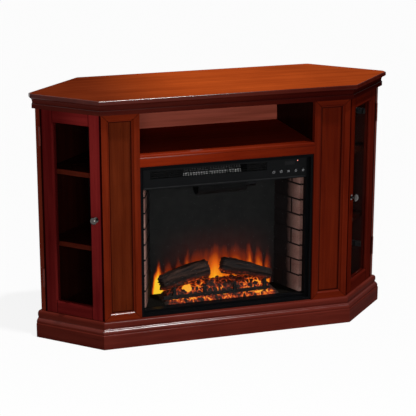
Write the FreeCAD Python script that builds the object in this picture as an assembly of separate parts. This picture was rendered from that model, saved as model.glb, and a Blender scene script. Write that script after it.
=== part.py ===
import FreeCAD, Part
import math
import os

# A corner media console with an electric fire in the middle bay and a glazed door on each canted front.
# Millimetres. The origin is the middle of the footprint on the floor, +Z is up and the front faces -Y.

# Overall size, half the top's front edge as a share of the width less the depth, and the top's clipped ends
WIDTH = 1219.2
DEPTH = 400.05
HEIGHT = 819.15
FRONT_SHARE = 0.524
END_FLAT = 20.0

# Overhang of the top past the body
TOP_OVERHANG = 26.0
TOP_REAR_OVERHANG = 15.0
TOP_BACK_OVERHANG = 10.0

# Board thicknesses
BOARD = 16.0
FACE_BOARD = 20.0
BACK_BOARD = 6.0
TOP_BOARD = 14.0
TOP_ROUND = 4.0

# Crown moulding under the top: a cove over a rounded ledge, and how far each stands out from the face
CROWN_HEIGHT = 35.0
CROWN_LEAD = 22.0
CROWN_COVE_LEAD = 9.5
CROWN_FILLET_LEAD = 12.5
CROWN_FILLET_HEIGHT = 13.0
CROWN_LEDGE_HEIGHT = 3.0
CROWN_END = 4.0
COVE_RISE = 0.2

# Base moulding, from the floor up, and how far each step stands out from the face
BASE_HEIGHT = 88.0
BASE_LEAD = 21.0
BASE_EDGE_HEIGHT = 3.0
BASE_FOOT_LEAD = 18.0
BASE_ROUND_HEIGHT = 14.0
BASE_ROUND_LEAD = 12.5
BASE_COVE_HEIGHT = 8.5
BASE_COVE_LEAD = 8.5
BASE_BEAD_LEAD = 10.5
BASE_BEAD_HEIGHT = 8.0
BASE_BEAD_TOP_HEIGHT = 9.0
BASE_BEAD_TOP_LEAD = 2.5
BASE_END = 8.0
ROUND_RISE = 0.2

# Layout of the flat front
PILASTER_WIDTH = 124.0
MEDIA_HEIGHT = 138.0
RAIL_HEIGHT = 40.0
RAIL_ROUND = 5.0
CABLE_HOLE_R = 25.0
CABLE_HOLE_DROP = 8.0

# Pilaster frames and their recessed panels
PILASTER_MEMBER = 28.0
PILASTER_BEVEL = 9.0
PILASTER_BEVEL_DEPTH = 7.0
PANEL_SEAT = 11.0
PANEL_LAP = 7.0
PANEL_BOARD = 6.0
PANEL_PLAY = 0.5

# Doors
DOOR_GAP = 2.0
DOOR_FREE_GAP = 2.5
HINGE_GAP = 3.0
STILE = 44.0
DOOR_RAIL = 40.0
STICKING = 7.0
STICKING_DEPTH = 5.0
GLASS_SEAT = 8.0
GLASS = 4.0
GLASS_PLAY = 0.1
GROOVE = 7.0
GLASS_EDGE_PLAY = 1.0

# Door knob
KNOB_R = 12.0
KNOB_LENGTH = 25.0
KNOB_NECK = 11.0
KNOB_NECK_R = 5.0
KNOB_BASE = 3.0
KNOB_BASE_R = 9.0

# Butt hinges with an arm on the side panel
HINGE_LOW_INSET = 115.0
HINGE_HIGH_INSET = 88.0
HINGE_LENGTH = 60.0
HINGE_LEAF = 1.2
HINGE_LEAF_WIDTH = 18.0
BARREL_R = 3.5
BARREL_PROUD = 3.8
HINGE_PIN_R = 1.5
HINGE_PIN_PLAY = 0.05
HINGE_PIN_HEAD = 1.5
KNUCKLE_GAP = 0.3
ARM_CLEARANCE = 2.5
ARM_LENGTH = 50.0
ARM_HEIGHT = 18.0
ARM_BOARD = 10.0

# Magnetic catches
CATCH_DROP = 69.0
CATCH_LENGTH = 16.0
CATCH_FOOT = 28.0
CATCH_DEPTH = 15.0
CATCH_GAP = 0.3
STRIKE = 1.5
STRIKE_START = 9.0
STRIKE_WIDTH = 24.0

# Shelves in the side bays, each underside at a share of the bay's height
SHELF_SHARES = (0.31, 0.648)
SHELF_SETBACK = 14.0
SHELF_PLAY = 1.0
SHELF_PIN_R = 2.5
SHELF_PIN_HOLD = 8.0
SHELF_PIN_REACH = 9.0
SHELF_PIN_PLAY = 0.1
PARTITION_PIN_INSETS = (60.0, 60.0)
SIDE_PIN_INSETS = (75.0, 70.0)

# Black surround of the fire
SURROUND_SETBACK = 6.0
SURROUND_DEPTH = 42.0
SURROUND_FLANGE = 8.0
SURROUND_STEP = 20.0
SURROUND_WALL = 16.0
SURROUND_PLAY = 0.5

# Steel case behind the surround
CASE_DEPTH = 220.0
CASE_SIDE_ROOM = 9.0
CASE_TOP_ROOM = 4.0
SHEET = 1.2
VENT_COUNT = 17
VENT_PITCH = 20.0
VENT_WIDTH = 5.0
VENT_HEIGHT = 60.0
VENT_DROP = 40.0

# Fire chamber
FIRE_GLASS = 4.0
FIRE_GLASS_LAP = 8.0
SCREEN_DEPTH = 120.0
SCREEN = 3.0
SCREEN_SPLAY = 58.5
SCREEN_RISE = 28.0
BRICK = 11.0
BRICK_RISE = 10.0
BRICK_COURSE = 53.0
BRICK_JOINT = 6.0
BRICK_JOINT_DEPTH = 2.5
BRICK_ODD_JOINTS = (0.32, 0.92)
BRICK_EVEN_JOINTS = (0.62,)

# Control fascia
FASCIA = 8.0
FASCIA_HEIGHT = 65.0
FASCIA_PLAY = 0.5
LIP = 6.0
LIP_HEIGHT = 13.0
SLOT_INSET = 22.5
SLOT_BUTTON_GAP = 23.0
SLOT_DROP = 18.0
SLOT_HEIGHT = 26.0
DISPLAY_INSET = 59.5
DISPLAY_DROP = 13.0
DISPLAY_WIDTH = 36.0
DISPLAY_HEIGHT = 14.0
DISPLAY_RECESS = 0.8
LAMP_INSET = 31.5
LAMP_R = 2.5

# Outlet grille in the slot
GRILLE_BLADES = 3
GRILLE_BLADE = 1.2
GRILLE_DEPTH = 6.0
GRILLE_RIBS = 7
GRILLE_RIB = 1.6

# Push buttons
BUTTON_NAMES = ("power", "timer", "heat", "flame", "lamp")
BUTTON_INSET = 12.5
BUTTON_PITCH = 25.5
BUTTON_DROP = 40.0
BUTTON_R = 7.5
BUTTON_PLAY = 0.3
BUTTON_PROUD = 1.4
BUTTON_FLANGE = 1.5
BUTTON_FLANGE_R = 9.5
BUTTON_TRAVEL = 1.0

# Control board behind the fascia
CONTROL_BOARD = 1.6
CONTROL_STANDOFF = 7.0
CONTROL_STANDOFF_R = 3.0
CONTROL_MARGIN = 15.0
CONTROL_HEIGHT = 56.0
SWITCH = 6.0
SWITCH_GAP = 0.4

# Heating element, with its start and width as shares of the air slot
ELEMENT_START_SHARE = 0.286
ELEMENT_SHARE = 0.491
ELEMENT_FOLDS = 22
ELEMENT_RIBBON = 7.0
ELEMENT_DEPTH = 3.0
ELEMENT_LAP = 3.0

# Cross-flow blower
BLOWER_HALF = 84.0
BLOWER_SETBACK = 45.0
BLOWER_DROP = 89.0
BLOWER_R = 28.0
BLOWER_BLADES = 20
BLOWER_BLADE = 1.2
BLOWER_BLADE_DEPTH = 7.0
BLOWER_DISC = 2.0
BLOWER_END_ROOM = 5.0
HOUSING_ROOM = 6.0
HOUSING_WALL = 1.5
SHAFT_R = 3.0
SHAFT_PLAY = 0.05
MOTOR_R = 22.0
MOTOR_LENGTH = 36.0
MOTOR_HOLD = 12.0

# Flame spinner behind the screen
SPINNER_SETBACK = 35.0
SPINNER_LIFT = 36.0
SPINNER_INSET = 19.0
SPINNER_VANES = 11
SPINNER_VANE_R = 17.0
SPINNER_VANE_WIDTH = 24.0
SPINNER_VANE = 0.8
SPINNER_VANE_TURN = 50.0
BRACKET = 2.0
BRACKET_WIDTH = 24.0
BRACKET_TOP = 14.0
SPINNER_MOTOR_R = 15.0
SPINNER_MOTOR_LENGTH = 24.0

# Lamp board behind the screen
LAMP_BOARD_SETBACK = 10.0
LAMP_BOARD = 1.6
LAMP_BOARD_INSET = 49.0
LAMP_BOARD_HEIGHT = 24.0
LAMP_COUNT = 12
LAMP_DOME_R = 2.5
LAMP_DOME = 3.0

# Cord gland in the back of the case
GLAND_INSET = 70.0
GLAND_LIFT = 41.0
GLAND_NECK_R = 6.0
GLAND_R = 10.0
GLAND_LENGTH = 12.0
GLAND_PLAY = 0.1

# Ember bed: its toe, slope and heel and its rows of lumps, as setbacks from the fire glass and heights
# over the hearth
EMBER_INSET = 20.0
EMBER_END_SLOPE = 20.0
EMBER_TOE = 2.0
EMBER_PROFILE = ((8.0, 8.0), (22.0, 9.0), (36.0, 21.0), (64.0, 37.0), (92.0, 44.0))
EMBER_HEEL = 104.0
EMBER_ROWS = ((11.0, 7.0), (48.0, 28.0))
EMBER_LUMPS = 26
EMBER_LUMP = 17.0
EMBER_LUMP_SHAPE = (1.0, 0.8, 0.7)
EMBER_LUMP_SPREAD = 0.25
EMBER_LUMP_TURN = 137.5
EMBER_LUMP_TILT = 24.0

# Logs: each end's X as a share of the screen's half-width, its setback from the fire glass, its height over
# the hearth and its radius
LEFT_LOG = ((-0.92, 66.0, 52.0, 26.0), (-0.146, 76.0, 92.0, 29.0))
RIGHT_LOG = ((0.055, 72.0, 98.0, 27.0), (0.854, 62.0, 50.0, 18.0))
LOG_RINGS = 5
LOG_SIDES = 9
LOG_ROUGHNESS = 0.07
LOG_RIDGES = 3
LOG_RIDGE_TURN = 126.0
LOG_BEND = 5.0

# Grate in front of the logs: the bar's ends and its outer fingers as shares of the screen's half-width
GRATE_BAR = 10.0
GRATE_START_SHARE = -0.91
GRATE_END_SHARE = 0.79
GRATE_FIRST_SHARE = -0.735
GRATE_LAST_SHARE = 0.71
GRATE_SETBACK = 23.0
GRATE_LIFT = 10.0
GRATE_FINGERS = 4
GRATE_FINGER = 29.0
GRATE_FINGER_WIDTH = 14.0

V = FreeCAD.Vector
ROOT2 = math.sqrt(2.0)
CANT_ANGLE = 45.0
MITRE = math.tan(math.radians(CANT_ANGLE / 2.0))

# Where the main faces lie
FACE_Y = -DEPTH / 2.0 + TOP_OVERHANG
FACE_BACK_Y = FACE_Y + FACE_BOARD
TOP_CORNER_X = FRONT_SHARE * (WIDTH - DEPTH)
CORNER_X = TOP_CORNER_X - TOP_OVERHANG * (ROOT2 - 1.0)
CANT_REACH = TOP_CORNER_X + DEPTH / 2.0
REAR_REACH = WIDTH + END_FLAT - CANT_REACH
SIDE_CORNER_X = (WIDTH + END_FLAT - (TOP_OVERHANG + TOP_REAR_OVERHANG) * ROOT2) / 2.0
CANT_LENGTH = (SIDE_CORNER_X - CORNER_X) * ROOT2
BACK_Y = DEPTH / 2.0 - TOP_BACK_OVERHANG - BACK_BOARD
TOP_Z = HEIGHT - TOP_BOARD
CROWN_Z = TOP_Z - CROWN_HEIGHT
RAIL_TOP = CROWN_Z - MEDIA_HEIGHT
RAIL_Z = RAIL_TOP - RAIL_HEIGHT
DECK_Z = BASE_HEIGHT - BOARD
BAY_X = CORNER_X - PILASTER_WIDTH
SIDE_BAY_X = BAY_X + BOARD
SHELF_LEVELS = [BASE_HEIGHT + share * (TOP_Z - BASE_HEIGHT) for share in SHELF_SHARES]
DOOR_START = DOOR_FREE_GAP
DOOR_END = CANT_LENGTH - BOARD - HINGE_GAP
DOOR_Z = BASE_HEIGHT + DOOR_GAP
DOOR_TOP = CROWN_Z - DOOR_GAP
HINGE_X = DOOR_END + HINGE_GAP / 2.0
HINGE_LEVELS = (DOOR_Z + HINGE_LOW_INSET, DOOR_TOP - HINGE_HIGH_INSET)
CATCH_Z = DOOR_TOP - CATCH_DROP
FIRE_Y = FACE_Y + SURROUND_SETBACK
FIRE_BACK_Y = FIRE_Y + SURROUND_DEPTH
SURROUND_X = BAY_X - SURROUND_PLAY
SURROUND_TOP = RAIL_Z - SURROUND_PLAY
CHAMBER_X = SURROUND_X - SURROUND_WALL
CHAMBER_Y = FIRE_BACK_Y + FIRE_GLASS
HEARTH_Z = BASE_HEIGHT + SURROUND_WALL
CASE_X = BAY_X - CASE_SIDE_ROOM
CASE_TOP = RAIL_Z - CASE_TOP_ROOM
CASE_BACK_Y = FIRE_BACK_Y + CASE_DEPTH
CASE_FLOOR = BASE_HEIGHT + SHEET
SCREEN_Y = FIRE_BACK_Y + SCREEN_DEPTH
SCREEN_HALF = CHAMBER_X - SCREEN_SPLAY
FASCIA_Y = FIRE_Y + SURROUND_STEP
FASCIA_BACK_Y = FASCIA_Y + FASCIA
FASCIA_TOP = SURROUND_TOP - SURROUND_WALL
FASCIA_Z = FASCIA_TOP - FASCIA_HEIGHT
BRICK_TOP = FASCIA_Z + BRICK_RISE
SCREEN_TOP = FASCIA_Z + SCREEN_RISE
SLOT_Z = FASCIA_TOP - SLOT_DROP
BUTTON_X = CHAMBER_X - BUTTON_INSET - (len(BUTTON_NAMES) - 1) * BUTTON_PITCH
SLOT_START = SLOT_INSET - CHAMBER_X
SLOT_END = BUTTON_X - SLOT_BUTTON_GAP
BUTTON_Z = FASCIA_TOP - BUTTON_DROP
BLOWER_Y = FIRE_BACK_Y + BLOWER_SETBACK
BLOWER_Z = CASE_TOP - BLOWER_DROP
SPINNER_Y = SCREEN_Y + SPINNER_SETBACK
SPINNER_Z = HEARTH_Z + SPINNER_LIFT
SPINNER_HALF = SCREEN_HALF - SPINNER_INSET
LAMP_BOARD_HALF = SCREEN_HALF - LAMP_BOARD_INSET
EMBER_HALF = SCREEN_HALF - EMBER_INSET
GLAND_X = CASE_X - GLAND_INSET
GLAND_Z = CASE_FLOOR + GLAND_LIFT


def box(x0, x1, y0, y1, z0, z1):
    return Part.makeBox(x1 - x0, y1 - y0, z1 - z0, V(x0, y0, z0))


def section(points, to_space):
    """A face through points (a, b); a third number bows the edge to that point by that share of it."""
    edges = []
    for start, end in zip(points, points[1:] + points[:1]):
        first = to_space(start[0], start[1])
        last = to_space(end[0], end[1])
        rise = end[2] if len(end) == 3 else 0.0
        if rise:
            a = (start[0] + end[0]) / 2.0 - (end[1] - start[1]) * rise
            b = (start[1] + end[1]) / 2.0 + (end[0] - start[0]) * rise
            edges.append(Part.Arc(first, to_space(a, b), last).toShape())
        else:
            edges.append(Part.LineSegment(first, last).toShape())
    return Part.Face(Part.Wire(edges))


def bar_x(points, x0, x1):
    """A bar along X with a section in (y, z)."""
    return section(points, lambda y, z: V(x0, y, z)).extrude(V(x1 - x0, 0, 0))


def bar_y(points, y0, y1):
    """A bar along Y with a section in (x, z)."""
    return section(points, lambda x, z: V(x, y0, z)).extrude(V(0, y1 - y0, 0))


def bar_z(points, z0, z1):
    """A bar along Z with a section in (x, y)."""
    return section(points, lambda x, y: V(x, y, z0)).extrude(V(0, 0, z1 - z0))


def rod_x(x0, x1, y, z, radius):
    return Part.makeCylinder(radius, x1 - x0, V(x0, y, z), V(1, 0, 0))


def rod_y(y0, y1, x, z, radius):
    return Part.makeCylinder(radius, y1 - y0, V(x, y0, z), V(0, 1, 0))


def rod_z(z0, z1, x, y, radius):
    return Part.makeCylinder(radius, z1 - z0, V(x, y, z0), V(0, 0, 1))


def fused(shapes):
    return shapes[0].multiFuse(shapes[1:]).removeSplitter()


def mirrored(shape):
    return shape.mirror(V(0, 0, 0), V(1, 0, 0))


def on_cant(shape):
    """Carry a shape from door coordinates to the right-hand canted front.

    In door coordinates X runs along the cant from the front corner, and Y goes inwards from its face.
    """
    placed = shape.copy()
    placed.rotate(V(0, 0, 0), V(0, 0, 1), CANT_ANGLE)
    placed.translate(V(CORNER_X, FACE_Y, 0))
    return placed


def cant_point(along, inwards):
    return (CORNER_X + (along - inwards) / ROOT2, FACE_Y + (along + inwards) / ROOT2)


# Lines of the right half of the plan, each (p, q, r) for p x + q y = r, moved in by an inset
def front_line(inset):
    return (0.0, -1.0, DEPTH / 2.0 - inset)


def cant_line(inset):
    return (1.0, -1.0, CANT_REACH - inset * ROOT2)


def rear_line(inset):
    return (1.0, 1.0, REAR_REACH - inset * ROOT2)


def back_line(inset):
    return (0.0, 1.0, DEPTH / 2.0 - inset)


def upright_line(x):
    return (1.0, 0.0, x)


def corner(a, b):
    scale = a[0] * b[1] - a[1] * b[0]
    return ((a[2] * b[1] - a[1] * b[2]) / scale, (a[0] * b[2] - a[2] * b[0]) / scale)


def both_halves(lines):
    """The plan's outline from the lines of its right half, from the front round to the back."""
    right = [corner(a, b) for a, b in zip(lines, lines[1:])]
    left = [(-x, y) for x, y in reversed(right)]
    return right + left


def top_panel():
    """The slab, with its two end corners clipped and its upper edges rounded."""
    lines = [front_line(0.0), cant_line(0.0), upright_line(WIDTH / 2.0), rear_line(0.0), back_line(0.0)]
    slab = bar_z(both_halves(lines), TOP_Z, HEIGHT)
    radius = min(TOP_ROUND, TOP_BOARD / 3.0)
    upper = [edge for edge in slab.Edges if edge.BoundBox.ZMin > TOP_Z + TOP_BOARD / 2.0]
    slab = slab.makeFillet(radius, upper)
    lower = [edge for edge in slab.Edges if edge.BoundBox.ZMax < TOP_Z + TOP_BOARD / 4.0]
    return slab.makeChamfer(radius / 2.0, lower)


def mouldings(profile, end_reach):
    """The front and the two canted lengths of a moulding, mitred at the front corners.

    The profile is in (depth behind the face, z), so what stands out from the face is negative.
    """
    span = 2.0 * max(abs(point[0]) for point in profile)
    front = bar_x(profile, -CORNER_X - span, CORNER_X + span)
    outer = CORNER_X + span * MITRE
    inner = CORNER_X - span * MITRE
    keep = [(-outer, -span), (outer, -span), (inner, span), (-inner, span)]
    front = front.common(bar_z(keep, 0.0, HEIGHT))
    front.translate(V(0, FACE_Y, 0))
    end = CANT_LENGTH + end_reach
    cant = bar_x(profile, -span, end)
    keep = [(-span * MITRE, -span), (end, -span), (end, span), (span * MITRE, span)]
    cant = on_cant(cant.common(bar_z(keep, 0.0, HEIGHT)))
    return [front, cant, mirrored(cant)]


def crown_moulding():
    fillet_z = CROWN_Z + CROWN_FILLET_HEIGHT
    ledge_z = fillet_z + CROWN_LEDGE_HEIGHT
    profile = [
        (FACE_BOARD, TOP_Z),
        (-CROWN_LEAD, TOP_Z),
        (-CROWN_COVE_LEAD, ledge_z, COVE_RISE),
        (-CROWN_FILLET_LEAD, fillet_z, -ROUND_RISE),
        (-CROWN_FILLET_LEAD, CROWN_Z),
        (FACE_BOARD, CROWN_Z),
    ]
    return mouldings(profile, CROWN_END)


def base_moulding():
    bead_z = BASE_HEIGHT - BASE_BEAD_TOP_HEIGHT
    cove_z = bead_z - BASE_BEAD_HEIGHT
    round_z = cove_z - BASE_COVE_HEIGHT
    foot_z = round_z - BASE_ROUND_HEIGHT
    profile = [
        (FACE_BOARD, 0.0),
        (-BASE_LEAD, 0.0),
        (-BASE_LEAD, foot_z - BASE_EDGE_HEIGHT),
        (-BASE_FOOT_LEAD, foot_z, ROUND_RISE),
        (-BASE_ROUND_LEAD, round_z, ROUND_RISE),
        (-BASE_COVE_LEAD, cove_z, -COVE_RISE),
        (-BASE_BEAD_LEAD, cove_z),
        (-BASE_BEAD_LEAD, bead_z),
        (-BASE_BEAD_TOP_LEAD, BASE_HEIGHT, ROUND_RISE),
        (FACE_BOARD, BASE_HEIGHT),
    ]
    return mouldings(profile, BASE_END)


def behind_back():
    """The space behind the plane that the back panels are pinned on."""
    return box(-WIDTH, WIDTH, BACK_Y, BACK_Y + DEPTH, -HEIGHT, 2.0 * HEIGHT)


def plinth_rails():
    side = on_cant(box(CANT_LENGTH - BOARD, CANT_LENGTH, FACE_BOARD, DEPTH, 0.0, DECK_Z)).cut(behind_back())
    inset = TOP_REAR_OVERHANG + BOARD
    back = TOP_BACK_OVERHANG + BACK_BOARD
    right = [corner(rear_line(inset), back_line(back + BOARD)), corner(rear_line(inset), back_line(back))]
    left = [(-x, y) for x, y in reversed(right)]
    rear = bar_z(right + left, 0.0, DECK_Z)
    bearer = box(BAY_X, SIDE_BAY_X, FACE_BACK_Y, BACK_Y - BOARD, 0.0, DECK_Z)
    return [side, mirrored(side), rear, bearer, mirrored(bearer)]


def bottom_deck():
    face = TOP_OVERHANG + FACE_BOARD
    back = TOP_BACK_OVERHANG + BACK_BOARD
    lines = [front_line(face), cant_line(face), rear_line(TOP_REAR_OVERHANG), back_line(back)]
    return bar_z(both_halves(lines), DECK_Z, BASE_HEIGHT)


def shelf_pins():
    """Pins of the right-hand bay: those in the partition, then those in the side panel."""
    side_x = CANT_LENGTH - BOARD
    side_end = (BACK_Y - FACE_Y) * ROOT2 - CANT_LENGTH
    in_partition = []
    in_side = []
    for level in SHELF_LEVELS:
        z = level - SHELF_PIN_R - SHELF_PIN_PLAY
        for y in (FACE_BACK_Y + PARTITION_PIN_INSETS[0], BACK_Y - PARTITION_PIN_INSETS[1]):
            pin = rod_x(SIDE_BAY_X - SHELF_PIN_HOLD, SIDE_BAY_X + SHELF_PIN_REACH, y, z, SHELF_PIN_R)
            in_partition.append(pin)
        for y in (SIDE_PIN_INSETS[0], side_end - SIDE_PIN_INSETS[1]):
            pin = rod_x(side_x - SHELF_PIN_REACH, side_x + SHELF_PIN_HOLD, y, z, SHELF_PIN_R)
            in_side.append(on_cant(pin))
    return in_partition, in_side


def side_panel(pins):
    """The panel along the rear cant, notched round the crown and drilled for the shelf pins."""
    panel = box(CANT_LENGTH - BOARD, CANT_LENGTH, 0.0, DEPTH, BASE_HEIGHT, TOP_Z)
    notch = box(0.0, 2.0 * CANT_LENGTH, -FACE_BOARD, FACE_BOARD, CROWN_Z, HEIGHT)
    panel = on_cant(panel.cut(notch)).cut(behind_back())
    return panel.cut(pins)


def partition(pins):
    return box(BAY_X, SIDE_BAY_X, FACE_BACK_Y, BACK_Y, BASE_HEIGHT, TOP_Z).cut(pins)


def side_back_panel():
    edge = corner(rear_line(TOP_REAR_OVERHANG), back_line(TOP_BACK_OVERHANG))
    return box(BAY_X + BOARD / 2.0, edge[0], BACK_Y, BACK_Y + BACK_BOARD, DECK_Z, TOP_Z)


def media_back_panel():
    half = BAY_X + BOARD / 2.0
    panel = box(-half, half, BACK_Y, BACK_Y + BACK_BOARD, RAIL_TOP - 2.0 * BOARD, TOP_Z)
    hole_z = CROWN_Z - CABLE_HOLE_R - CABLE_HOLE_DROP
    return panel.cut(rod_y(BACK_Y - BACK_BOARD, BACK_Y + 2.0 * BACK_BOARD, 0.0, hole_z, CABLE_HOLE_R))


def media_shelf():
    return box(-BAY_X, BAY_X, FACE_BACK_Y, BACK_Y, RAIL_TOP - BOARD, RAIL_TOP)


def shelf_rail():
    rail = box(-BAY_X, BAY_X, FACE_Y, FACE_BACK_Y, RAIL_Z, RAIL_TOP)
    long_edges = [edge for edge in rail.Edges if edge.BoundBox.XLength > BAY_X]
    front = [edge for edge in long_edges if edge.BoundBox.YMax < FACE_Y + FACE_BOARD / 2.0]
    return rail.makeFillet(min(RAIL_ROUND, FACE_BOARD / 3.0, RAIL_HEIGHT / 3.0), front)


def mitred_frame(profile, x0, x1, z0, z1):
    """Four mitred members round a rectangle; the profile is in (distance in from the edge, y)."""
    width = max(point[0] for point in profile)
    y0 = min(point[1] for point in profile)
    y1 = max(point[1] for point in profile)

    def member(to_space, along, keep):
        return section(profile, to_space).extrude(along).common(bar_y(keep, y0, y1))

    tall = V(0, 0, z1 - z0)
    wide = V(x1 - x0, 0, 0)
    low_left, low_right = (x0 + width, z0 + width), (x1 - width, z0 + width)
    high_left, high_right = (x0 + width, z1 - width), (x1 - width, z1 - width)
    return [
        member(lambda s, y: V(x0 + s, y, z0), tall, [(x0, z0), low_left, high_left, (x0, z1)]),
        member(lambda s, y: V(x1 - s, y, z0), tall, [(x1, z0), (x1, z1), high_right, low_right]),
        member(lambda s, y: V(x0, y, z0 + s), wide, [(x0, z0), (x1, z0), low_right, low_left]),
        member(lambda s, y: V(x0, y, z1 - s), wide, [(x0, z1), high_left, high_right, (x1, z1)]),
    ]


def pilaster_frame():
    """The right-hand pilaster's frame, bevelled along its outer edge to clear the door."""
    bevel = PILASTER_MEMBER - PILASTER_BEVEL
    lap = PILASTER_MEMBER - PANEL_LAP
    profile = [
        (0.0, FACE_Y),
        (bevel, FACE_Y),
        (PILASTER_MEMBER, FACE_Y + PILASTER_BEVEL_DEPTH, COVE_RISE),
        (PILASTER_MEMBER, FACE_Y + PANEL_SEAT),
        (lap, FACE_Y + PANEL_SEAT),
        (lap, FACE_BACK_Y),
        (0.0, FACE_BACK_Y),
    ]
    beyond = [
        (CORNER_X, FACE_Y),
        (CORNER_X + FACE_BOARD, FACE_Y),
        (CORNER_X + FACE_BOARD, FACE_BACK_Y),
        (CORNER_X - FACE_BOARD, FACE_BACK_Y),
    ]
    waste = bar_z(beyond, 0.0, HEIGHT)
    members = mitred_frame(profile, BAY_X, CORNER_X, BASE_HEIGHT, CROWN_Z)
    return [member.cut(waste) for member in members]


def pilaster_panel():
    edge = PILASTER_MEMBER - PANEL_LAP + PANEL_PLAY
    seat = FACE_Y + PANEL_SEAT
    x1 = CORNER_X - edge
    return box(BAY_X + edge, x1, seat, seat + PANEL_BOARD, BASE_HEIGHT + edge, CROWN_Z - edge)


def shelf(level):
    """A right-hand shelf: behind the pilaster, set back from the door, and close to the walls."""
    glass_side = TOP_OVERHANG + FACE_BOARD + SHELF_SETBACK
    front = front_line(TOP_OVERHANG + FACE_BOARD + SHELF_PLAY)
    cant = cant_line(glass_side)
    rear = rear_line(TOP_REAR_OVERHANG + BOARD + SHELF_PLAY)
    back = back_line(TOP_BACK_OVERHANG + BACK_BOARD + SHELF_PLAY)
    inner = upright_line(SIDE_BAY_X + SHELF_PLAY)
    lines = [inner, front, cant, rear, back]
    outline = [corner(a, b) for a, b in zip(lines, lines[1:] + lines[:1])]
    return bar_z(outline, level, level + BOARD)


def door_profile(width):
    """Door member in (distance in from the edge, depth): moulded inner edge and a groove for the glass."""
    groove_back = GLASS_SEAT + GLASS + 2.0 * GLASS_PLAY
    return [
        (0.0, 0.0),
        (width - STICKING, 0.0),
        (width, STICKING_DEPTH, -ROUND_RISE),
        (width, GLASS_SEAT),
        (width - GROOVE, GLASS_SEAT),
        (width - GROOVE, groove_back),
        (width, groove_back),
        (width, FACE_BOARD),
        (0.0, FACE_BOARD),
    ]


def door_frame():
    """Two stiles and two rails, each rail coped over the stiles with a tongue in their grooves."""
    tall = V(0, 0, DOOR_TOP - DOOR_Z)
    upright = door_profile(STILE)
    stiles = [
        section(upright, lambda s, y: V(DOOR_START + s, y, DOOR_Z)).extrude(tall),
        section(upright, lambda s, y: V(DOOR_END - s, y, DOOR_Z)).extrude(tall),
    ]
    start = DOOR_START + STILE - GROOVE
    wide = V(DOOR_END - DOOR_START - 2.0 * (STILE - GROOVE), 0, 0)
    level = door_profile(DOOR_RAIL)
    rails = [
        section(level, lambda s, y: V(start, y, DOOR_Z + s)).extrude(wide),
        section(level, lambda s, y: V(start, y, DOOR_TOP - s)).extrude(wide),
    ]
    coped = [rail.cut(stiles) for rail in rails]
    return stiles + [max(rail.Solids, key=lambda solid: solid.Volume) for rail in coped]


def door_glass():
    stile = STILE - GROOVE + GLASS_EDGE_PLAY
    rail = DOOR_RAIL - GROOVE + GLASS_EDGE_PLAY
    seat = GLASS_SEAT + GLASS_PLAY
    return box(DOOR_START + stile, DOOR_END - stile, seat, seat + GLASS, DOOR_Z + rail, DOOR_TOP - rail)


def door_knob():
    head = KNOB_NECK + (KNOB_LENGTH - KNOB_NECK) / 2.0
    dome_rise = math.tan(math.atan2(KNOB_LENGTH - head, KNOB_R) / 2.0) / 2.0
    outline = [
        (0.0, 0.0),
        (KNOB_BASE_R, 0.0),
        (KNOB_BASE_R, -KNOB_BASE / 2.0),
        (KNOB_NECK_R, -KNOB_BASE),
        (KNOB_NECK_R, -KNOB_NECK),
        (KNOB_R, -head),
        (0.0, -KNOB_LENGTH, dome_rise),
    ]
    knob = section(outline, lambda r, y: V(r, y, 0)).revolve(V(0, 0, 0), V(0, 1, 0), 360.0)
    knob.translate(V(DOOR_START + STILE / 2.0, 0, (DOOR_Z + DOOR_TOP) / 2.0))
    return knob


def knuckle(z, first, last):
    """One knuckle of a hinge, between two shares of the hinge's length."""
    z0 = z - HINGE_LENGTH / 2.0 + HINGE_LENGTH * first
    z1 = z - HINGE_LENGTH / 2.0 + HINGE_LENGTH * last
    if first > 0.0:
        z0 += KNUCKLE_GAP / 2.0
    if last < 1.0:
        z1 -= KNUCKLE_GAP / 2.0
    return z0, z1


def hinge_leaf(z, x0, knuckles):
    """A leaf in the hinge gap with its knuckles round the pin, in door coordinates."""
    half = HINGE_LENGTH / 2.0
    pieces = [box(x0, x0 + HINGE_LEAF, 0.0, HINGE_LEAF_WIDTH, z - half, z + half)]
    for first, last in knuckles:
        z0, z1 = knuckle(z, first, last)
        pieces.append(rod_z(z0, z1, HINGE_X, -BARREL_PROUD, BARREL_R))
        pieces.append(box(x0, x0 + HINGE_LEAF, -BARREL_PROUD, 0.0, z0, z1))
    bore = rod_z(z - HINGE_LENGTH, z + HINGE_LENGTH, HINGE_X, -BARREL_PROUD, HINGE_PIN_R + HINGE_PIN_PLAY)
    return fused(pieces).cut(bore)


def door_hinge_leaves():
    return [hinge_leaf(z, DOOR_END, [(1.0 / 3.0, 2.0 / 3.0)]) for z in HINGE_LEVELS]


def hinge_arms():
    """The leaves on the side panel, each with the arm that shows inside the door."""
    wall = CANT_LENGTH - BOARD
    start = FACE_BOARD + ARM_CLEARANCE
    arms = []
    for z in HINGE_LEVELS:
        leaf = hinge_leaf(z, wall - HINGE_LEAF, [(0.0, 1.0 / 3.0), (2.0 / 3.0, 1.0)])
        half = ARM_HEIGHT / 2.0
        web = box(wall - HINGE_LEAF, wall, HINGE_LEAF_WIDTH, start, z - half, z + half)
        slope = [(wall, start), (wall - ARM_BOARD / 2.0, start), (wall - ARM_BOARD, start + ARM_BOARD),
                 (wall - ARM_BOARD, start + ARM_LENGTH), (wall, start + ARM_LENGTH)]
        arm = bar_z(slope, z - half, z + half)
        arms.append(on_cant(fused([leaf, web, arm])))
    return arms


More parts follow.
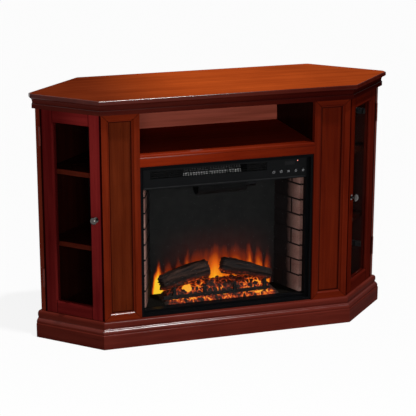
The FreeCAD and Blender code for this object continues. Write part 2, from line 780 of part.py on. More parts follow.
def hinge_pins():
    pins = []
    for z in HINGE_LEVELS:
        z0 = z - HINGE_LENGTH / 2.0
        z1 = z + HINGE_LENGTH / 2.0
        shank = rod_z(z0, z1, HINGE_X, -BARREL_PROUD, HINGE_PIN_R)
        foot = rod_z(z0 - HINGE_PIN_HEAD, z0, HINGE_X, -BARREL_PROUD, BARREL_R)
        head = rod_z(z1, z1 + HINGE_PIN_HEAD, HINGE_X, -BARREL_PROUD, BARREL_R)
        pins.append(on_cant(fused([shank, foot, head])))
    return pins


def magnetic_catch():
    """A block on the back of the pilaster, with its pole face along the closed door's strike plate."""
    pole = FACE_BOARD + STRIKE + CATCH_GAP
    strike_end = STRIKE_START + STRIKE_WIDTH
    outline = [
        (CORNER_X - FACE_BOARD - CATCH_FOOT, FACE_BACK_Y),
        (CORNER_X - FACE_BOARD, FACE_BACK_Y),
        cant_point(STRIKE_START, pole),
        cant_point(strike_end, pole),
        cant_point(strike_end, pole + CATCH_DEPTH),
        (CORNER_X - FACE_BOARD - CATCH_FOOT, FACE_BACK_Y + CATCH_DEPTH),
    ]
    half = CATCH_LENGTH / 2.0
    return bar_z(outline, CATCH_Z - half, CATCH_Z + half)


def strike_plate():
    half = CATCH_LENGTH / 2.0
    z0 = CATCH_Z - half
    z1 = CATCH_Z + half
    return box(STRIKE_START, STRIKE_START + STRIKE_WIDTH, FACE_BOARD, FACE_BOARD + STRIKE, z0, z1)


def firebox_surround():
    profile = [
        (0.0, FIRE_Y),
        (SURROUND_FLANGE, FIRE_Y),
        (SURROUND_FLANGE, FIRE_Y + SURROUND_STEP),
        (SURROUND_WALL, FIRE_Y + SURROUND_STEP),
        (SURROUND_WALL, FIRE_BACK_Y),
        (0.0, FIRE_BACK_Y),
    ]
    return mitred_frame(profile, -SURROUND_X, SURROUND_X, BASE_HEIGHT, SURROUND_TOP)


def firebox_case():
    """Five sheets: floor, lid, two sides and a back with vents and the gland's hole."""
    floor = box(-CASE_X, CASE_X, FIRE_BACK_Y, CASE_BACK_Y, BASE_HEIGHT, CASE_FLOOR)
    lid = box(-CASE_X, CASE_X, FIRE_BACK_Y, CASE_BACK_Y, CASE_TOP - SHEET, CASE_TOP)
    side = box(CASE_X - SHEET, CASE_X, FIRE_BACK_Y, CASE_BACK_Y, CASE_FLOOR, CASE_TOP - SHEET)
    inner = CASE_X - SHEET
    back = box(-inner, inner, CASE_BACK_Y - SHEET, CASE_BACK_Y, CASE_FLOOR, CASE_TOP - SHEET)
    vent_top = CASE_TOP - VENT_DROP
    vents = []
    for index in range(VENT_COUNT):
        x = (index - (VENT_COUNT - 1) / 2.0) * VENT_PITCH
        half = VENT_WIDTH / 2.0
        vents.append(box(x - half, x + half, CASE_BACK_Y - 2.0 * SHEET, CASE_BACK_Y + SHEET,
                         vent_top - VENT_HEIGHT, vent_top))
    hole_r = GLAND_NECK_R + GLAND_PLAY
    hole = rod_y(CASE_BACK_Y - GLAND_LENGTH, CASE_BACK_Y + GLAND_LENGTH, GLAND_X, GLAND_Z, hole_r)
    return [floor, lid, side, mirrored(side), back.cut(vents + [hole])]


def cord_gland():
    neck = rod_y(CASE_BACK_Y - GLAND_LENGTH / 2.0, CASE_BACK_Y, GLAND_X, GLAND_Z, GLAND_NECK_R)
    flange = rod_y(CASE_BACK_Y, CASE_BACK_Y + GLAND_LENGTH / 3.0, GLAND_X, GLAND_Z, GLAND_R)
    foot = V(GLAND_X, CASE_BACK_Y, GLAND_Z)
    nose = Part.makeCone(GLAND_R, GLAND_NECK_R, GLAND_LENGTH, foot, V(0, 1, 0))
    bore = rod_y(CASE_BACK_Y - GLAND_LENGTH, CASE_BACK_Y + 2.0 * GLAND_LENGTH, GLAND_X, GLAND_Z,
                 GLAND_NECK_R / 2.0)
    return fused([neck, flange, nose]).cut(bore)


def fire_glass():
    half = CASE_X - SHEET - SURROUND_PLAY
    return box(-half, half, FIRE_BACK_Y, CHAMBER_Y, CASE_FLOOR, FASCIA_Z + FIRE_GLASS_LAP)


def brick_panel():
    """The right-hand splayed panel, with running-bond joints cut in its inner face."""
    front = CHAMBER_X - BRICK
    outline = [(front, CHAMBER_Y), (CHAMBER_X, CHAMBER_Y)]
    outline += [(SCREEN_HALF + BRICK, SCREEN_Y), (SCREEN_HALF, SCREEN_Y)]
    panel = bar_z(outline, HEARTH_Z, BRICK_TOP)

    def joint(first, last, z0, z1):
        xa, xb = (front + (SCREEN_HALF - front) * t for t in (first, last))
        ya, yb = (CHAMBER_Y + (SCREEN_Y - CHAMBER_Y) * t for t in (first, last))
        deep = BRICK_JOINT_DEPTH
        return bar_z([(xa - BRICK, ya), (xa + deep, ya), (xb + deep, yb), (xb - BRICK, yb)], z0, z1)

    joints = []
    share = BRICK_JOINT / (SCREEN_Y - CHAMBER_Y)
    courses = int((BRICK_TOP - HEARTH_Z) / BRICK_COURSE) + 1
    for course in range(courses):
        z0 = HEARTH_Z + course * BRICK_COURSE
        top = min(z0 + BRICK_COURSE, BRICK_TOP)
        if course:
            joints.append(joint(0.0, 1.0, z0, z0 + BRICK_JOINT))
        middles = BRICK_ODD_JOINTS if course % 2 else BRICK_EVEN_JOINTS
        for middle in middles:
            joints.append(joint(middle - share / 2.0, middle + share / 2.0, z0, top))
    return panel.cut(joints)


def flame_screen():
    half = SCREEN_HALF + BRICK
    return box(-half, half, SCREEN_Y, SCREEN_Y + SCREEN, CASE_FLOOR, SCREEN_TOP)


def hearth_floor():
    rear = SCREEN_HALF + BRICK
    outline = [(-CHAMBER_X, CHAMBER_Y), (CHAMBER_X, CHAMBER_Y), (rear, SCREEN_Y), (-rear, SCREEN_Y)]
    return bar_z(outline, CASE_FLOOR, HEARTH_Z)


def control_fascia():
    """The band over the fire: a flared lip below, the air slot, the button holes and the display's recess."""
    half = CHAMBER_X - FASCIA_PLAY
    lip_z = FASCIA_Z + LIP_HEIGHT
    profile = [
        (FASCIA_BACK_Y, FASCIA_Z),
        (FASCIA_BACK_Y, FASCIA_TOP),
        (FASCIA_Y, FASCIA_TOP),
        (FASCIA_Y, lip_z),
        (FASCIA_Y - LIP, FASCIA_Z + LIP / 2.0, COVE_RISE),
        (FASCIA_Y - LIP / 2.0, FASCIA_Z, ROUND_RISE),
    ]
    band = bar_x(profile, -half, half)
    slot_half = SLOT_HEIGHT / 2.0
    slot_z = (SLOT_Z - slot_half, SLOT_Z + slot_half)
    cuts = [box(SLOT_START, SLOT_END, FASCIA_Y - LIP, FASCIA_BACK_Y + LIP, *slot_z)]
    for index in range(len(BUTTON_NAMES)):
        x = BUTTON_X + index * BUTTON_PITCH
        cuts.append(rod_y(FASCIA_Y - LIP, FASCIA_BACK_Y + LIP, x, BUTTON_Z, BUTTON_R + BUTTON_PLAY))
    window_z = FASCIA_TOP - DISPLAY_DROP
    window_x = CHAMBER_X - DISPLAY_INSET
    recess_y = FASCIA_Y + DISPLAY_RECESS
    window = box(-DISPLAY_WIDTH / 2.0, DISPLAY_WIDTH / 2.0, FASCIA_Y - LIP, recess_y, 0.0, DISPLAY_HEIGHT)
    window.translate(V(window_x, 0, window_z - DISPLAY_HEIGHT / 2.0))
    cuts.append(window)
    cuts.append(rod_y(FASCIA_Y - LIP, recess_y, CHAMBER_X - LAMP_INSET, window_z, LAMP_R))
    return band.cut(cuts)


def outlet_grille():
    """Level blades and upright ribs that fill the air slot."""
    y0 = FASCIA_Y + (FASCIA - GRILLE_DEPTH) / 2.0
    y1 = y0 + GRILLE_DEPTH
    z0 = SLOT_Z - SLOT_HEIGHT / 2.0
    pieces = []
    for index in range(GRILLE_BLADES):
        z = z0 + SLOT_HEIGHT * (index + 1) / (GRILLE_BLADES + 1) - GRILLE_BLADE / 2.0
        pieces.append(box(SLOT_START, SLOT_END, y0, y1, z, z + GRILLE_BLADE))
    step = (SLOT_END - SLOT_START - GRILLE_RIB) / (GRILLE_RIBS - 1)
    for index in range(GRILLE_RIBS):
        x = SLOT_START + index * step
        pieces.append(box(x, x + GRILLE_RIB, y0, y1, z0, z0 + SLOT_HEIGHT))
    return fused(pieces)


def heating_element():
    """A folded ribbon across the back of the air slot, its folds lapping the fascia above and below."""
    low = SLOT_Z - SLOT_HEIGHT / 2.0 - ELEMENT_LAP
    high = SLOT_Z + SLOT_HEIGHT / 2.0 + ELEMENT_LAP - ELEMENT_RIBBON
    slot = SLOT_END - SLOT_START
    start = SLOT_START + ELEMENT_START_SHARE * slot
    step = ELEMENT_SHARE * slot / (2 * ELEMENT_FOLDS)
    turns = [(start + index * step, high if index % 2 else low) for index in range(2 * ELEMENT_FOLDS + 1)]
    band = turns + [(x, z + ELEMENT_RIBBON) for x, z in reversed(turns)]
    return bar_y(band, FASCIA_BACK_Y, FASCIA_BACK_Y + ELEMENT_DEPTH)


def push_button(index):
    """A round cap through the fascia with a flange behind it."""
    x = BUTTON_X + index * BUTTON_PITCH
    cap = rod_y(FASCIA_Y - BUTTON_PROUD, FASCIA_BACK_Y, x, BUTTON_Z, BUTTON_R)
    flange = rod_y(FASCIA_BACK_Y, FASCIA_BACK_Y + BUTTON_FLANGE, x, BUTTON_Z, BUTTON_FLANGE_R)
    return fused([cap, flange])


def control_board():
    """A board on four posts behind the fascia, with a switch behind each button."""
    last = BUTTON_X + (len(BUTTON_NAMES) - 1) * BUTTON_PITCH
    x0 = BUTTON_X - CONTROL_MARGIN
    x1 = min(last + CONTROL_MARGIN, CHAMBER_X - 2.0 * FASCIA_PLAY)
    z1 = FASCIA_TOP - CONTROL_STANDOFF_R
    z0 = z1 - CONTROL_HEIGHT
    y0 = FASCIA_BACK_Y + CONTROL_STANDOFF
    pieces = [box(x0, x1, y0, y0 + CONTROL_BOARD, z0, z1)]
    inset = 1.5 * CONTROL_STANDOFF_R
    for x in (x0 + inset, x1 - inset):
        for z in (z0 + inset, z1 - inset):
            pieces.append(rod_y(FASCIA_BACK_Y, y0, x, z, CONTROL_STANDOFF_R))
    front = FASCIA_BACK_Y + BUTTON_FLANGE + BUTTON_TRAVEL + SWITCH_GAP
    half = SWITCH / 2.0
    for index in range(len(BUTTON_NAMES)):
        x = BUTTON_X + index * BUTTON_PITCH
        pieces.append(box(x - half, x + half, front, y0, BUTTON_Z - half, BUTTON_Z + half))
    return fused(pieces)


def housing_shape(room, half):
    """The blower's channel: a round trough under a straight shaft up to the lid, as a bar along X."""
    radius = BLOWER_R + room
    top = CASE_TOP - SHEET
    shaft = box(-half, half, BLOWER_Y - radius, BLOWER_Y + radius, BLOWER_Z, top)
    trough = rod_x(-half, half, BLOWER_Y, BLOWER_Z, radius)
    return shaft.fuse(trough).removeSplitter()


def blower_housing():
    outer = housing_shape(HOUSING_ROOM + HOUSING_WALL, BLOWER_HALF)
    inner = housing_shape(HOUSING_ROOM, BLOWER_HALF - HOUSING_WALL)
    radius = BLOWER_R + HOUSING_ROOM + 2.0 * HOUSING_WALL
    half = BLOWER_HALF - HOUSING_WALL
    slot_half = SLOT_HEIGHT / 2.0
    mouth = box(-half, half, BLOWER_Y - radius, BLOWER_Y, SLOT_Z - slot_half, SLOT_Z + slot_half)
    bore = rod_x(-2.0 * BLOWER_HALF, 2.0 * BLOWER_HALF, BLOWER_Y, BLOWER_Z, SHAFT_R + SHAFT_PLAY)
    return outer.cut([inner, mouth, bore])


def blower_wheel():
    """End discs joined by a ring of forward-leaning blades, on a shaft that runs into the motor."""
    half = BLOWER_HALF - HOUSING_WALL - BLOWER_END_ROOM
    pieces = [rod_x(-BLOWER_HALF, BLOWER_HALF + MOTOR_HOLD, BLOWER_Y, BLOWER_Z, SHAFT_R)]
    for x in (-half, half - BLOWER_DISC):
        pieces.append(rod_x(x, x + BLOWER_DISC, BLOWER_Y, BLOWER_Z, BLOWER_R))
    r0 = BLOWER_R - BLOWER_BLADE_DEPTH - BLOWER_BLADE
    r1 = BLOWER_R - BLOWER_BLADE
    for index in range(BLOWER_BLADES):
        blade = box(-half, half, BLOWER_Y + r0, BLOWER_Y + r1, BLOWER_Z, BLOWER_Z + BLOWER_BLADE)
        blade.rotate(V(0, BLOWER_Y + r1, BLOWER_Z), V(1, 0, 0), CANT_ANGLE / 2.0)
        blade.rotate(V(0, BLOWER_Y, BLOWER_Z), V(1, 0, 0), 360.0 * index / BLOWER_BLADES)
        pieces.append(blade)
    return fused(pieces)


def blower_motor():
    can = rod_x(BLOWER_HALF, BLOWER_HALF + MOTOR_LENGTH, BLOWER_Y, BLOWER_Z, MOTOR_R)
    hub = rod_x(BLOWER_HALF + MOTOR_LENGTH, BLOWER_HALF + MOTOR_LENGTH + MOTOR_HOLD / 2.0,
                BLOWER_Y, BLOWER_Z, MOTOR_R / 2.0)
    bore = rod_x(0.0, BLOWER_HALF + MOTOR_HOLD + SHAFT_R, BLOWER_Y, BLOWER_Z, SHAFT_R + SHAFT_PLAY)
    return fused([can, hub]).cut(bore)


def spinner_brackets():
    half = BRACKET_WIDTH / 2.0
    z1 = SPINNER_Z + BRACKET_TOP
    plate = box(SPINNER_HALF, SPINNER_HALF + BRACKET, SPINNER_Y - half, SPINNER_Y + half, CASE_FLOOR, z1)
    reach = SPINNER_HALF + 2.0 * BRACKET
    plate = plate.cut(rod_x(0.0, reach, SPINNER_Y, SPINNER_Z, SHAFT_R + SHAFT_PLAY))
    return [plate, mirrored(plate)]


def flame_spinner():
    """A rod with flat reflecting vanes, each turned on from the last."""
    end = SPINNER_HALF + BRACKET
    pieces = [rod_x(-end, end + MOTOR_HOLD, SPINNER_Y, SPINNER_Z, SHAFT_R)]
    step = 2.0 * (SPINNER_HALF - SPINNER_VANE_WIDTH) / (SPINNER_VANES - 1)
    for index in range(SPINNER_VANES):
        x = (index - (SPINNER_VANES - 1) / 2.0) * step
        half = SPINNER_VANE_WIDTH / 2.0
        vane = box(x - half, x + half, SPINNER_Y - SPINNER_VANE_R, SPINNER_Y + SPINNER_VANE_R,
                   SPINNER_Z - SPINNER_VANE / 2.0, SPINNER_Z + SPINNER_VANE / 2.0)
        vane.rotate(V(0, SPINNER_Y, SPINNER_Z), V(1, 0, 0), index * SPINNER_VANE_TURN)
        pieces.append(vane)
    return fused(pieces)


def spinner_motor():
    start = SPINNER_HALF + BRACKET
    can = rod_x(start, start + SPINNER_MOTOR_LENGTH, SPINNER_Y, SPINNER_Z, SPINNER_MOTOR_R)
    bore = rod_x(0.0, start + MOTOR_HOLD + SHAFT_R, SPINNER_Y, SPINNER_Z, SHAFT_R + SHAFT_PLAY)
    return can.cut(bore)


def lamp_board():
    y = SCREEN_Y + SCREEN + LAMP_BOARD_SETBACK
    z1 = CASE_FLOOR + LAMP_BOARD_HEIGHT
    pieces = [box(-LAMP_BOARD_HALF, LAMP_BOARD_HALF, y, y + LAMP_BOARD, CASE_FLOOR, z1)]
    step = 2.0 * LAMP_BOARD_HALF / LAMP_COUNT
    for index in range(LAMP_COUNT):
        x = -LAMP_BOARD_HALF + (index + 0.5) * step
        pieces.append(rod_y(y - LAMP_DOME, y, x, z1 - 2.0 * LAMP_DOME_R, LAMP_DOME_R))
    return fused(pieces)


def log_shape(ends):
    """A log as a loft of uneven rings between two ends, bent a little upwards."""
    (xa, ya, za, ra), (xb, yb, zb, rb) = ends
    start = V(xa * SCREEN_HALF, CHAMBER_Y + ya, HEARTH_Z + za)
    axis = V(xb * SCREEN_HALF, CHAMBER_Y + yb, HEARTH_Z + zb) - start
    side = axis.cross(V(0, 0, 1)).normalize()
    up = side.cross(axis).normalize()
    rings = []
    for ring in range(LOG_RINGS):
        t = ring / (LOG_RINGS - 1.0)
        middle = start + axis * t + up * (LOG_BEND * math.sin(math.pi * t))
        radius = ra + (rb - ra) * t
        points = []
        for index in range(LOG_SIDES):
            angle = 2.0 * math.pi * index / LOG_SIDES
            ridge = math.sin(LOG_RIDGES * angle + math.radians(LOG_RIDGE_TURN) * ring)
            rough = radius * (1.0 + LOG_ROUGHNESS * ridge)
            points.append(middle + side * (rough * math.cos(angle)) + up * (rough * math.sin(angle)))
        rings.append(Part.makePolygon(points + points[:1]))
    return Part.makeLoft(rings, True, True)


def fire_grate():
    """A bar on two legs with upright fingers."""
    y0 = CHAMBER_Y + GRATE_SETBACK
    y1 = y0 + GRATE_BAR
    z0 = HEARTH_Z + GRATE_LIFT
    z1 = z0 + GRATE_BAR
    start = GRATE_START_SHARE * SCREEN_HALF
    end = GRATE_END_SHARE * SCREEN_HALF
    pieces = [box(start, end, y0, y1, z0, z1)]
    first = GRATE_FIRST_SHARE * SCREEN_HALF
    last = GRATE_LAST_SHARE * SCREEN_HALF
    half = GRATE_FINGER_WIDTH / 2.0
    tip = half / 2.0
    for x in (first, last):
        pieces.append(box(x - half, x + half, y0, y1, HEARTH_Z, z0))
    step = (last - first) / (GRATE_FINGERS - 1)
    for index in range(GRATE_FINGERS):
        x = first + index * step
        top = z1 + GRATE_FINGER
        pieces.append(bar_y([(x - half, z1), (x + half, z1), (x + tip, top), (x - tip, top)], y0, y1))
    return fused(pieces)


def ember_bed():
    """A low heap along the hearth with lumps of coal on its front slope."""
    slope = [(CHAMBER_Y + EMBER_TOE, HEARTH_Z)]
    slope += [(CHAMBER_Y + setback, HEARTH_Z + height) for setback, height in EMBER_PROFILE]
    slope += [(CHAMBER_Y + EMBER_HEEL, HEARTH_Z)]
    heap = bar_x(list(reversed(slope)), -EMBER_HALF, EMBER_HALF)
    crest = HEARTH_Z + max(height for setback, height in EMBER_PROFILE)
    y0 = CHAMBER_Y + EMBER_TOE
    y1 = CHAMBER_Y + EMBER_HEEL
    keep = [(-EMBER_HALF, HEARTH_Z), (EMBER_HALF, HEARTH_Z), (EMBER_HALF - EMBER_END_SLOPE, crest),
            (-EMBER_HALF + EMBER_END_SLOPE, crest)]
    heap = heap.common(bar_y(keep, y0, y1))
    pieces = [heap]
    for index in range(EMBER_LUMPS):
        row = index % len(EMBER_ROWS)
        x = (index + 0.5) / EMBER_LUMPS * 2.0 * (EMBER_HALF - EMBER_LUMP) - EMBER_HALF + EMBER_LUMP
        setback, height = EMBER_ROWS[row]
        turn = EMBER_LUMP_TURN * index
        wave = math.sin(math.radians(turn))
        size = EMBER_LUMP * (1.0 + EMBER_LUMP_SPREAD * wave)
        wide, deep, tall = (size * share for share in EMBER_LUMP_SHAPE)
        lump = Part.makeBox(wide, deep, tall, V(-wide / 2.0, -deep / 2.0, -tall / 2.0))
        lump.rotate(V(0, 0, 0), V(0, 0, 1), turn)
        lump.rotate(V(0, 0, 0), V(1, 0, 0), EMBER_LUMP_TILT * wave)
        lump.translate(V(x, CHAMBER_Y + setback, HEARTH_Z + height))
        pieces.append(lump)
    limits = box(-EMBER_HALF, EMBER_HALF, y0, y1, HEARTH_Z, SCREEN_TOP)
    return fused(pieces).common(limits)


def solids_of(shapes):
    return [solid for shape in shapes for solid in shape.Solids]


def both(shapes):
    return list(shapes) + [mirrored(shape) for shape in shapes]


def build():
    """Every node of the part, as its name and its solids."""
    in_partition, in_side = shelf_pins()
    panel = side_panel(in_side)
    wall = partition(in_partition)
    pilaster = pilaster_frame()
    shelves = [shelf(level) for level in SHELF_LEVELS]
    grate = fire_grate()
    embers = ember_bed().cut(grate)
    nodes = {
        "top_panel": [top_panel()],
        "crown_moulding": crown_moulding(),
        "base_moulding": base_moulding(),
        "plinth_rails": plinth_rails(),
        "bottom_deck": [bottom_deck()],
        "right_side_panel": [panel],
        "left_side_panel": [mirrored(panel)],
        "right_partition": [wall],
        "left_partition": [mirrored(wall)],
        "side_back_panels": both([side_back_panel()]),
        "media_back_panel": [media_back_panel()],
        "media_shelf": [media_shelf()],
        "shelf_rail": [shelf_rail()],
        "right_pilaster_frame": pilaster,
        "left_pilaster_frame": [mirrored(member) for member in pilaster],
        "pilaster_panels": both([pilaster_panel()]),
        "right_shelves": shelves,
        "left_shelves": [mirrored(board) for board in shelves],
        "shelf_pins": both(in_partition + in_side),
        "hinge_arms": both(hinge_arms()),
        "hinge_pins": both(hinge_pins()),
        "magnetic_catches": both([magnetic_catch()]),
        "firebox_surround": firebox_surround(),
        "firebox_case": firebox_case(),
        "cord_gland": [cord_gland()],
        "fire_glass": [fire_glass()],
        "brick_panels": both([brick_panel()]),
        "flame_screen": [flame_screen()],
        "hearth_floor": [hearth_floor()],
        "fire_grate": [grate],
        "ember_bed": [embers],
        "left_log": [log_shape(LEFT_LOG).cut([embers, grate])],
        "right_log": [log_shape(RIGHT_LOG).cut([embers, grate])],
        "control_fascia": [control_fascia()],
        "outlet_grille": [outlet_grille()],
        "heating_element": [heating_element()],
        "control_board": [control_board()],
        "blower_housing": [blower_housing()],
        "blower_wheel": [blower_wheel()],
        "blower_motor": [blower_motor()],
        "spinner_brackets": spinner_brackets(),
        "flame_spinner": [flame_spinner()],
        "spinner_motor": [spinner_motor()],
        "lamp_board": [lamp_board()],
    }
    door = {
        "door_frame": door_frame(),
        "door_glass": [door_glass()],
        "door_knob": [door_knob()],
        "door_hinge_leaves": door_hinge_leaves(),
        "door_strike": [strike_plate()],
    }
    for name, shapes in door.items():
        placed = [on_cant(shape) for shape in shapes]
        nodes["right_" + name] = placed
        nodes["left_" + name] = [mirrored(shape) for shape in placed]
    for index, name in enumerate(BUTTON_NAMES):
        nodes[name + "_button"] = [push_button(index)]
    return nodes


os.makedirs("parts", exist_ok=True)
for node, shapes in build().items():
    solids = solids_of(shapes)
    whole = solids[0] if len(solids) == 1 else Part.Compound(solids)
    whole.exportStep("parts/" + node + ".step")
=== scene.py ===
import math

import bmesh
import bpy
from mathutils import Matrix, Vector, noise


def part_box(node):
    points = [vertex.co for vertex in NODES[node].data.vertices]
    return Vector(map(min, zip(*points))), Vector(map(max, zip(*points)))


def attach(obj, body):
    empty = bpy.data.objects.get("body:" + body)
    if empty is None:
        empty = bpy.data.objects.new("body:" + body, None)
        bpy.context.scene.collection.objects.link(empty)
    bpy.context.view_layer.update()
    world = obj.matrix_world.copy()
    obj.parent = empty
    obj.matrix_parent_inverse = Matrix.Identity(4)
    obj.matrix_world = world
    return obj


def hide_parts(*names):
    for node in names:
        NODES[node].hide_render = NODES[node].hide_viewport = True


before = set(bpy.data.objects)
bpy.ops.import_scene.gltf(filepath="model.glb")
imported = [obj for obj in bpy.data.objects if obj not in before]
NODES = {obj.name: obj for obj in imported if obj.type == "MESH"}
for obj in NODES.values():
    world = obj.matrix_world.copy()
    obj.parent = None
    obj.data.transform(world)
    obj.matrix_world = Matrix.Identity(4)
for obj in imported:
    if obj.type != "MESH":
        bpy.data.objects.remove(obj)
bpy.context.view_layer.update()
SCENE = bpy.context.scene

# Camera: picture and focal length in pixels, sensor in millimetres, angles in degrees
PICTURE = 416
FOCAL_PIXELS = 1472.3
SENSOR = 36.0
VIEW_AZIMUTH = -17.52
VIEW_ELEVATION = 16.29
VIEW_DISTANCE = 4.937
VIEW_TARGET = Vector((-0.0151, 0.0, 0.3878))
VIEW_FAR = 200.0

# Light: angles in degrees, and the share of the world's white that lights the object
SUN_STRENGTH = 2.3
SUN_AZIMUTH = 42.0
SUN_ELEVATION = 68.0
SUN_ANGLE = 3.0
KEY_POWER = 36.0
KEY_PLACE = Vector((-0.9, -3.0, 1.05))
KEY_AIM = Vector((0.0, 0.0, 0.4))
KEY_SIZE = 0.9
AMBIENT = 0.16
# Floor: size, share of plain white, and greys to look at and for the light that it throws back
FLOOR_SIZE = 80.0
FLOOR_WHITE = 0.88
FLOOR_SEEN = (0.9, 0.9, 0.9)
FLOOR_THROWN = (0.4, 0.4, 0.4)

NOISE_SEED = 7

# Wood stains, dark and light grain
PILASTER_STAIN = (0.09, 0.0074, 0.0016), (0.175, 0.0184, 0.0044)
PANEL_STAIN = (0.06, 0.0072, 0.0016), (0.12, 0.018, 0.0044)
# The crown's stain, darkened as painted shade under the top's overhang; it is also the painted shade on the
# slab's edges and ends and on the base's cants
CROWN_PAINTED_SHADE_STAIN = (0.04, 0.0036, 0.0024), (0.082, 0.0112, 0.0064)
# Painted shade towards the right of the crown
CROWN_RIGHT_PAINTED_SHADE = (0.02, 0.001, 0.0008), (0.042, 0.0034, 0.0024)
BASE_STAIN = (0.07, 0.008, 0.0048), (0.128, 0.018, 0.0112)
DOOR_STAIN = (0.058, 0.003, 0.0034), (0.112, 0.0088, 0.008)
# A lighter stain: painted light on the doors' near stiles
STILE_PAINTED_LIGHT = (0.125, 0.0072, 0.008), (0.225, 0.018, 0.0165)
TOP_STAIN = (0.335, 0.045, 0.007), (0.55, 0.087, 0.014)
RAIL_STAIN = (0.142, 0.01, 0.002), (0.25, 0.0228, 0.0042)
SHELF_STAIN = (0.11, 0.008, 0.002), (0.18, 0.015, 0.004)
# A darker, redder stain: painted shade towards the right on the pilasters, panels and rail, and painted
# light on the right door's near stile
RED_PAINTED_LIGHT_AND_SHADE = (0.068, 0.004, 0.001), (0.125, 0.0105, 0.0024)
# Painted light on the front edges of the shelves behind the left door
SHELF_EDGE_PAINTED_LIGHT = (0.07, 0.0085, 0.004), (0.12, 0.017, 0.008)
SIDE_STAIN = (0.085, 0.009, 0.0045), (0.15, 0.02, 0.0085)
# The right door's stain, darkened as painted shade
RIGHT_DOOR_PAINTED_SHADE = (0.046, 0.0032, 0.0018), (0.092, 0.0088, 0.0046)
# Painted shade on the partitions, nearly black
PARTITION_PAINTED_SHADE = (0.008, 0.0012, 0.0008), (0.018, 0.0028, 0.0015)
# A near-black stain inside the cabinet: painted shade on the deck, the shelves and the inner faces of the
# sides
INNER_PAINTED_SHADE = (0.016, 0.0025, 0.0015), (0.034, 0.0055, 0.0028)


class Surface:
    """A new material or world, and short ways to add nodes to it."""

    def __init__(self, name, world=False):
        self.owner = (bpy.data.worlds if world else bpy.data.materials).new(name)
        self.owner.use_nodes = True
        self.tree = self.owner.node_tree
        self.tree.nodes.clear()
        self.output = self.node("OutputWorld" if world else "OutputMaterial")

    def put(self, socket, value):
        """Link a socket to another one, or set it."""
        if isinstance(value, bpy.types.NodeSocket):
            self.tree.links.new(value, socket)
        elif isinstance(value, tuple) and len(value) == 3 and socket.type == "RGBA":
            socket.default_value = value + (1.0,)
        else:
            socket.default_value = value

    def node(self, kind, values=None, **settings):
        made = self.tree.nodes.new("ShaderNode" + kind)
        for key, value in settings.items():
            setattr(made, key, value)
        for key, value in (values or {}).items():
            self.put(made.inputs[key], value)
        return made

    def math(self, operation, a, b=0.0, c=0.0, clamp=False):
        made = self.node("Math", {0: a, 1: b, 2: c}, operation=operation, use_clamp=clamp)
        return made.outputs[0]

    def times(self, a, b):
        return self.math("MULTIPLY", a, b)

    def times_plus(self, a, b, c):
        return self.math("MULTIPLY_ADD", a, b, c)

    def minus(self, a, b):
        return self.math("SUBTRACT", a, b)

    def larger(self, a, b):
        return self.math("MAXIMUM", a, b)

    def below(self, a, b):
        """One where a is less than b, and zero elsewhere."""
        return self.math("LESS_THAN", a, b)

    def above(self, a, b):
        return self.math("GREATER_THAN", a, b)

    def apart(self, a, b):
        """How far a and b differ."""
        return self.math("ABSOLUTE", self.minus(a, b))

    def place(self):
        """The point in the part's frame, as a vector and as X, Y and Z."""
        vector = self.node("TexCoord").outputs["Object"]
        split = self.node("SeparateXYZ", {0: vector})
        return vector, split.outputs[0], split.outputs[1], split.outputs[2]

    def facing(self):
        """X, Y and Z of the direction that the surface faces."""
        return self.node("SeparateXYZ", {0: self.node("TexCoord").outputs["Normal"]}).outputs

    def scaled(self, vector, scale):
        return self.node("VectorMath", {0: vector, 1: scale}, operation="MULTIPLY").outputs[0]

    def noise(self, vector, scale=1.0, detail=4.0, roughness=0.55, distortion=0.0):
        values = {"Vector": vector, "Scale": scale, "Detail": detail, "Roughness": roughness,
                  "Distortion": distortion}
        return self.node("TexNoise", values).outputs[0]

    def cells(self, vector, scale):
        """How far a point lies from the edge of its cell."""
        values = {"Vector": vector, "Scale": scale}
        return self.node("TexVoronoi", values, feature="DISTANCE_TO_EDGE").outputs["Distance"]

    def fade(self, value, start, end, low=0.0, high=1.0, smooth=True):
        """Low before start, high after end."""
        values = {"Value": value, "From Min": start, "From Max": end, "To Min": low, "To Max": high}
        kind = "SMOOTHSTEP" if smooth else "LINEAR"
        return self.node("MapRange", values, interpolation_type=kind).outputs[0]

    def ramp(self, value, stops):
        """A colour by value, from pairs of place and colour."""
        made = self.node("ValToRGB", {0: value})
        points = made.color_ramp.elements
        while len(points) < len(stops):
            points.new(0.5)
        for point, (place, colour) in zip(points, stops):
            point.position = place
            point.color = colour + (1.0,)
        return made.outputs[0]

    def blend(self, factor, a, b):
        made = self.node("Mix", {0: factor, 6: a, 7: b}, data_type="RGBA")
        return made.outputs[2]

    def blend_vector(self, factor, a, b):
        made = self.node("Mix", {0: factor, 4: a, 5: b}, data_type="VECTOR")
        return made.outputs[1]

    def bump(self, height, distance, strength=1.0):
        return self.node("Bump", {"Height": height, "Distance": distance, "Strength": strength}).outputs[0]

    def shown(self):
        """One for rays from the camera, off a reflection or through glass, and zero for the rest."""
        rays = self.node("LightPath").outputs
        direct = self.math("ADD", rays["Is Camera Ray"], rays["Is Glossy Ray"])
        return self.math("ADD", direct, rays["Is Transmission Ray"], clamp=True)

    def finish(self, shader):
        self.tree.links.new(shader, self.output.inputs[0])
        return self.owner

    def principled(self, **values):
        """The material with the usual shader; a socket's name is written with underscores."""
        named = {key.replace("_", " "): value for key, value in values.items()}
        return self.finish(self.node("BsdfPrincipled", named).outputs[0])


def shaded(colour, share):
    """The colour, darkened to a share."""
    return tuple(value * share for value in colour)


def wear(material, *nodes):
    """Give CAD nodes their material."""
    for node in nodes:
        slots = NODES[node].data.materials
        slots.clear()
        slots.append(material)


# Widths of a door's stiles, along X, and of its rails
DOOR_STILE = 0.0311
DOOR_RAIL = 0.044
# How far the front of a canted door stands out past its back, along X
DOOR_LEAN = 0.0141
# Width of a pilaster frame's stiles and rails
PILASTER_STILE = 0.028

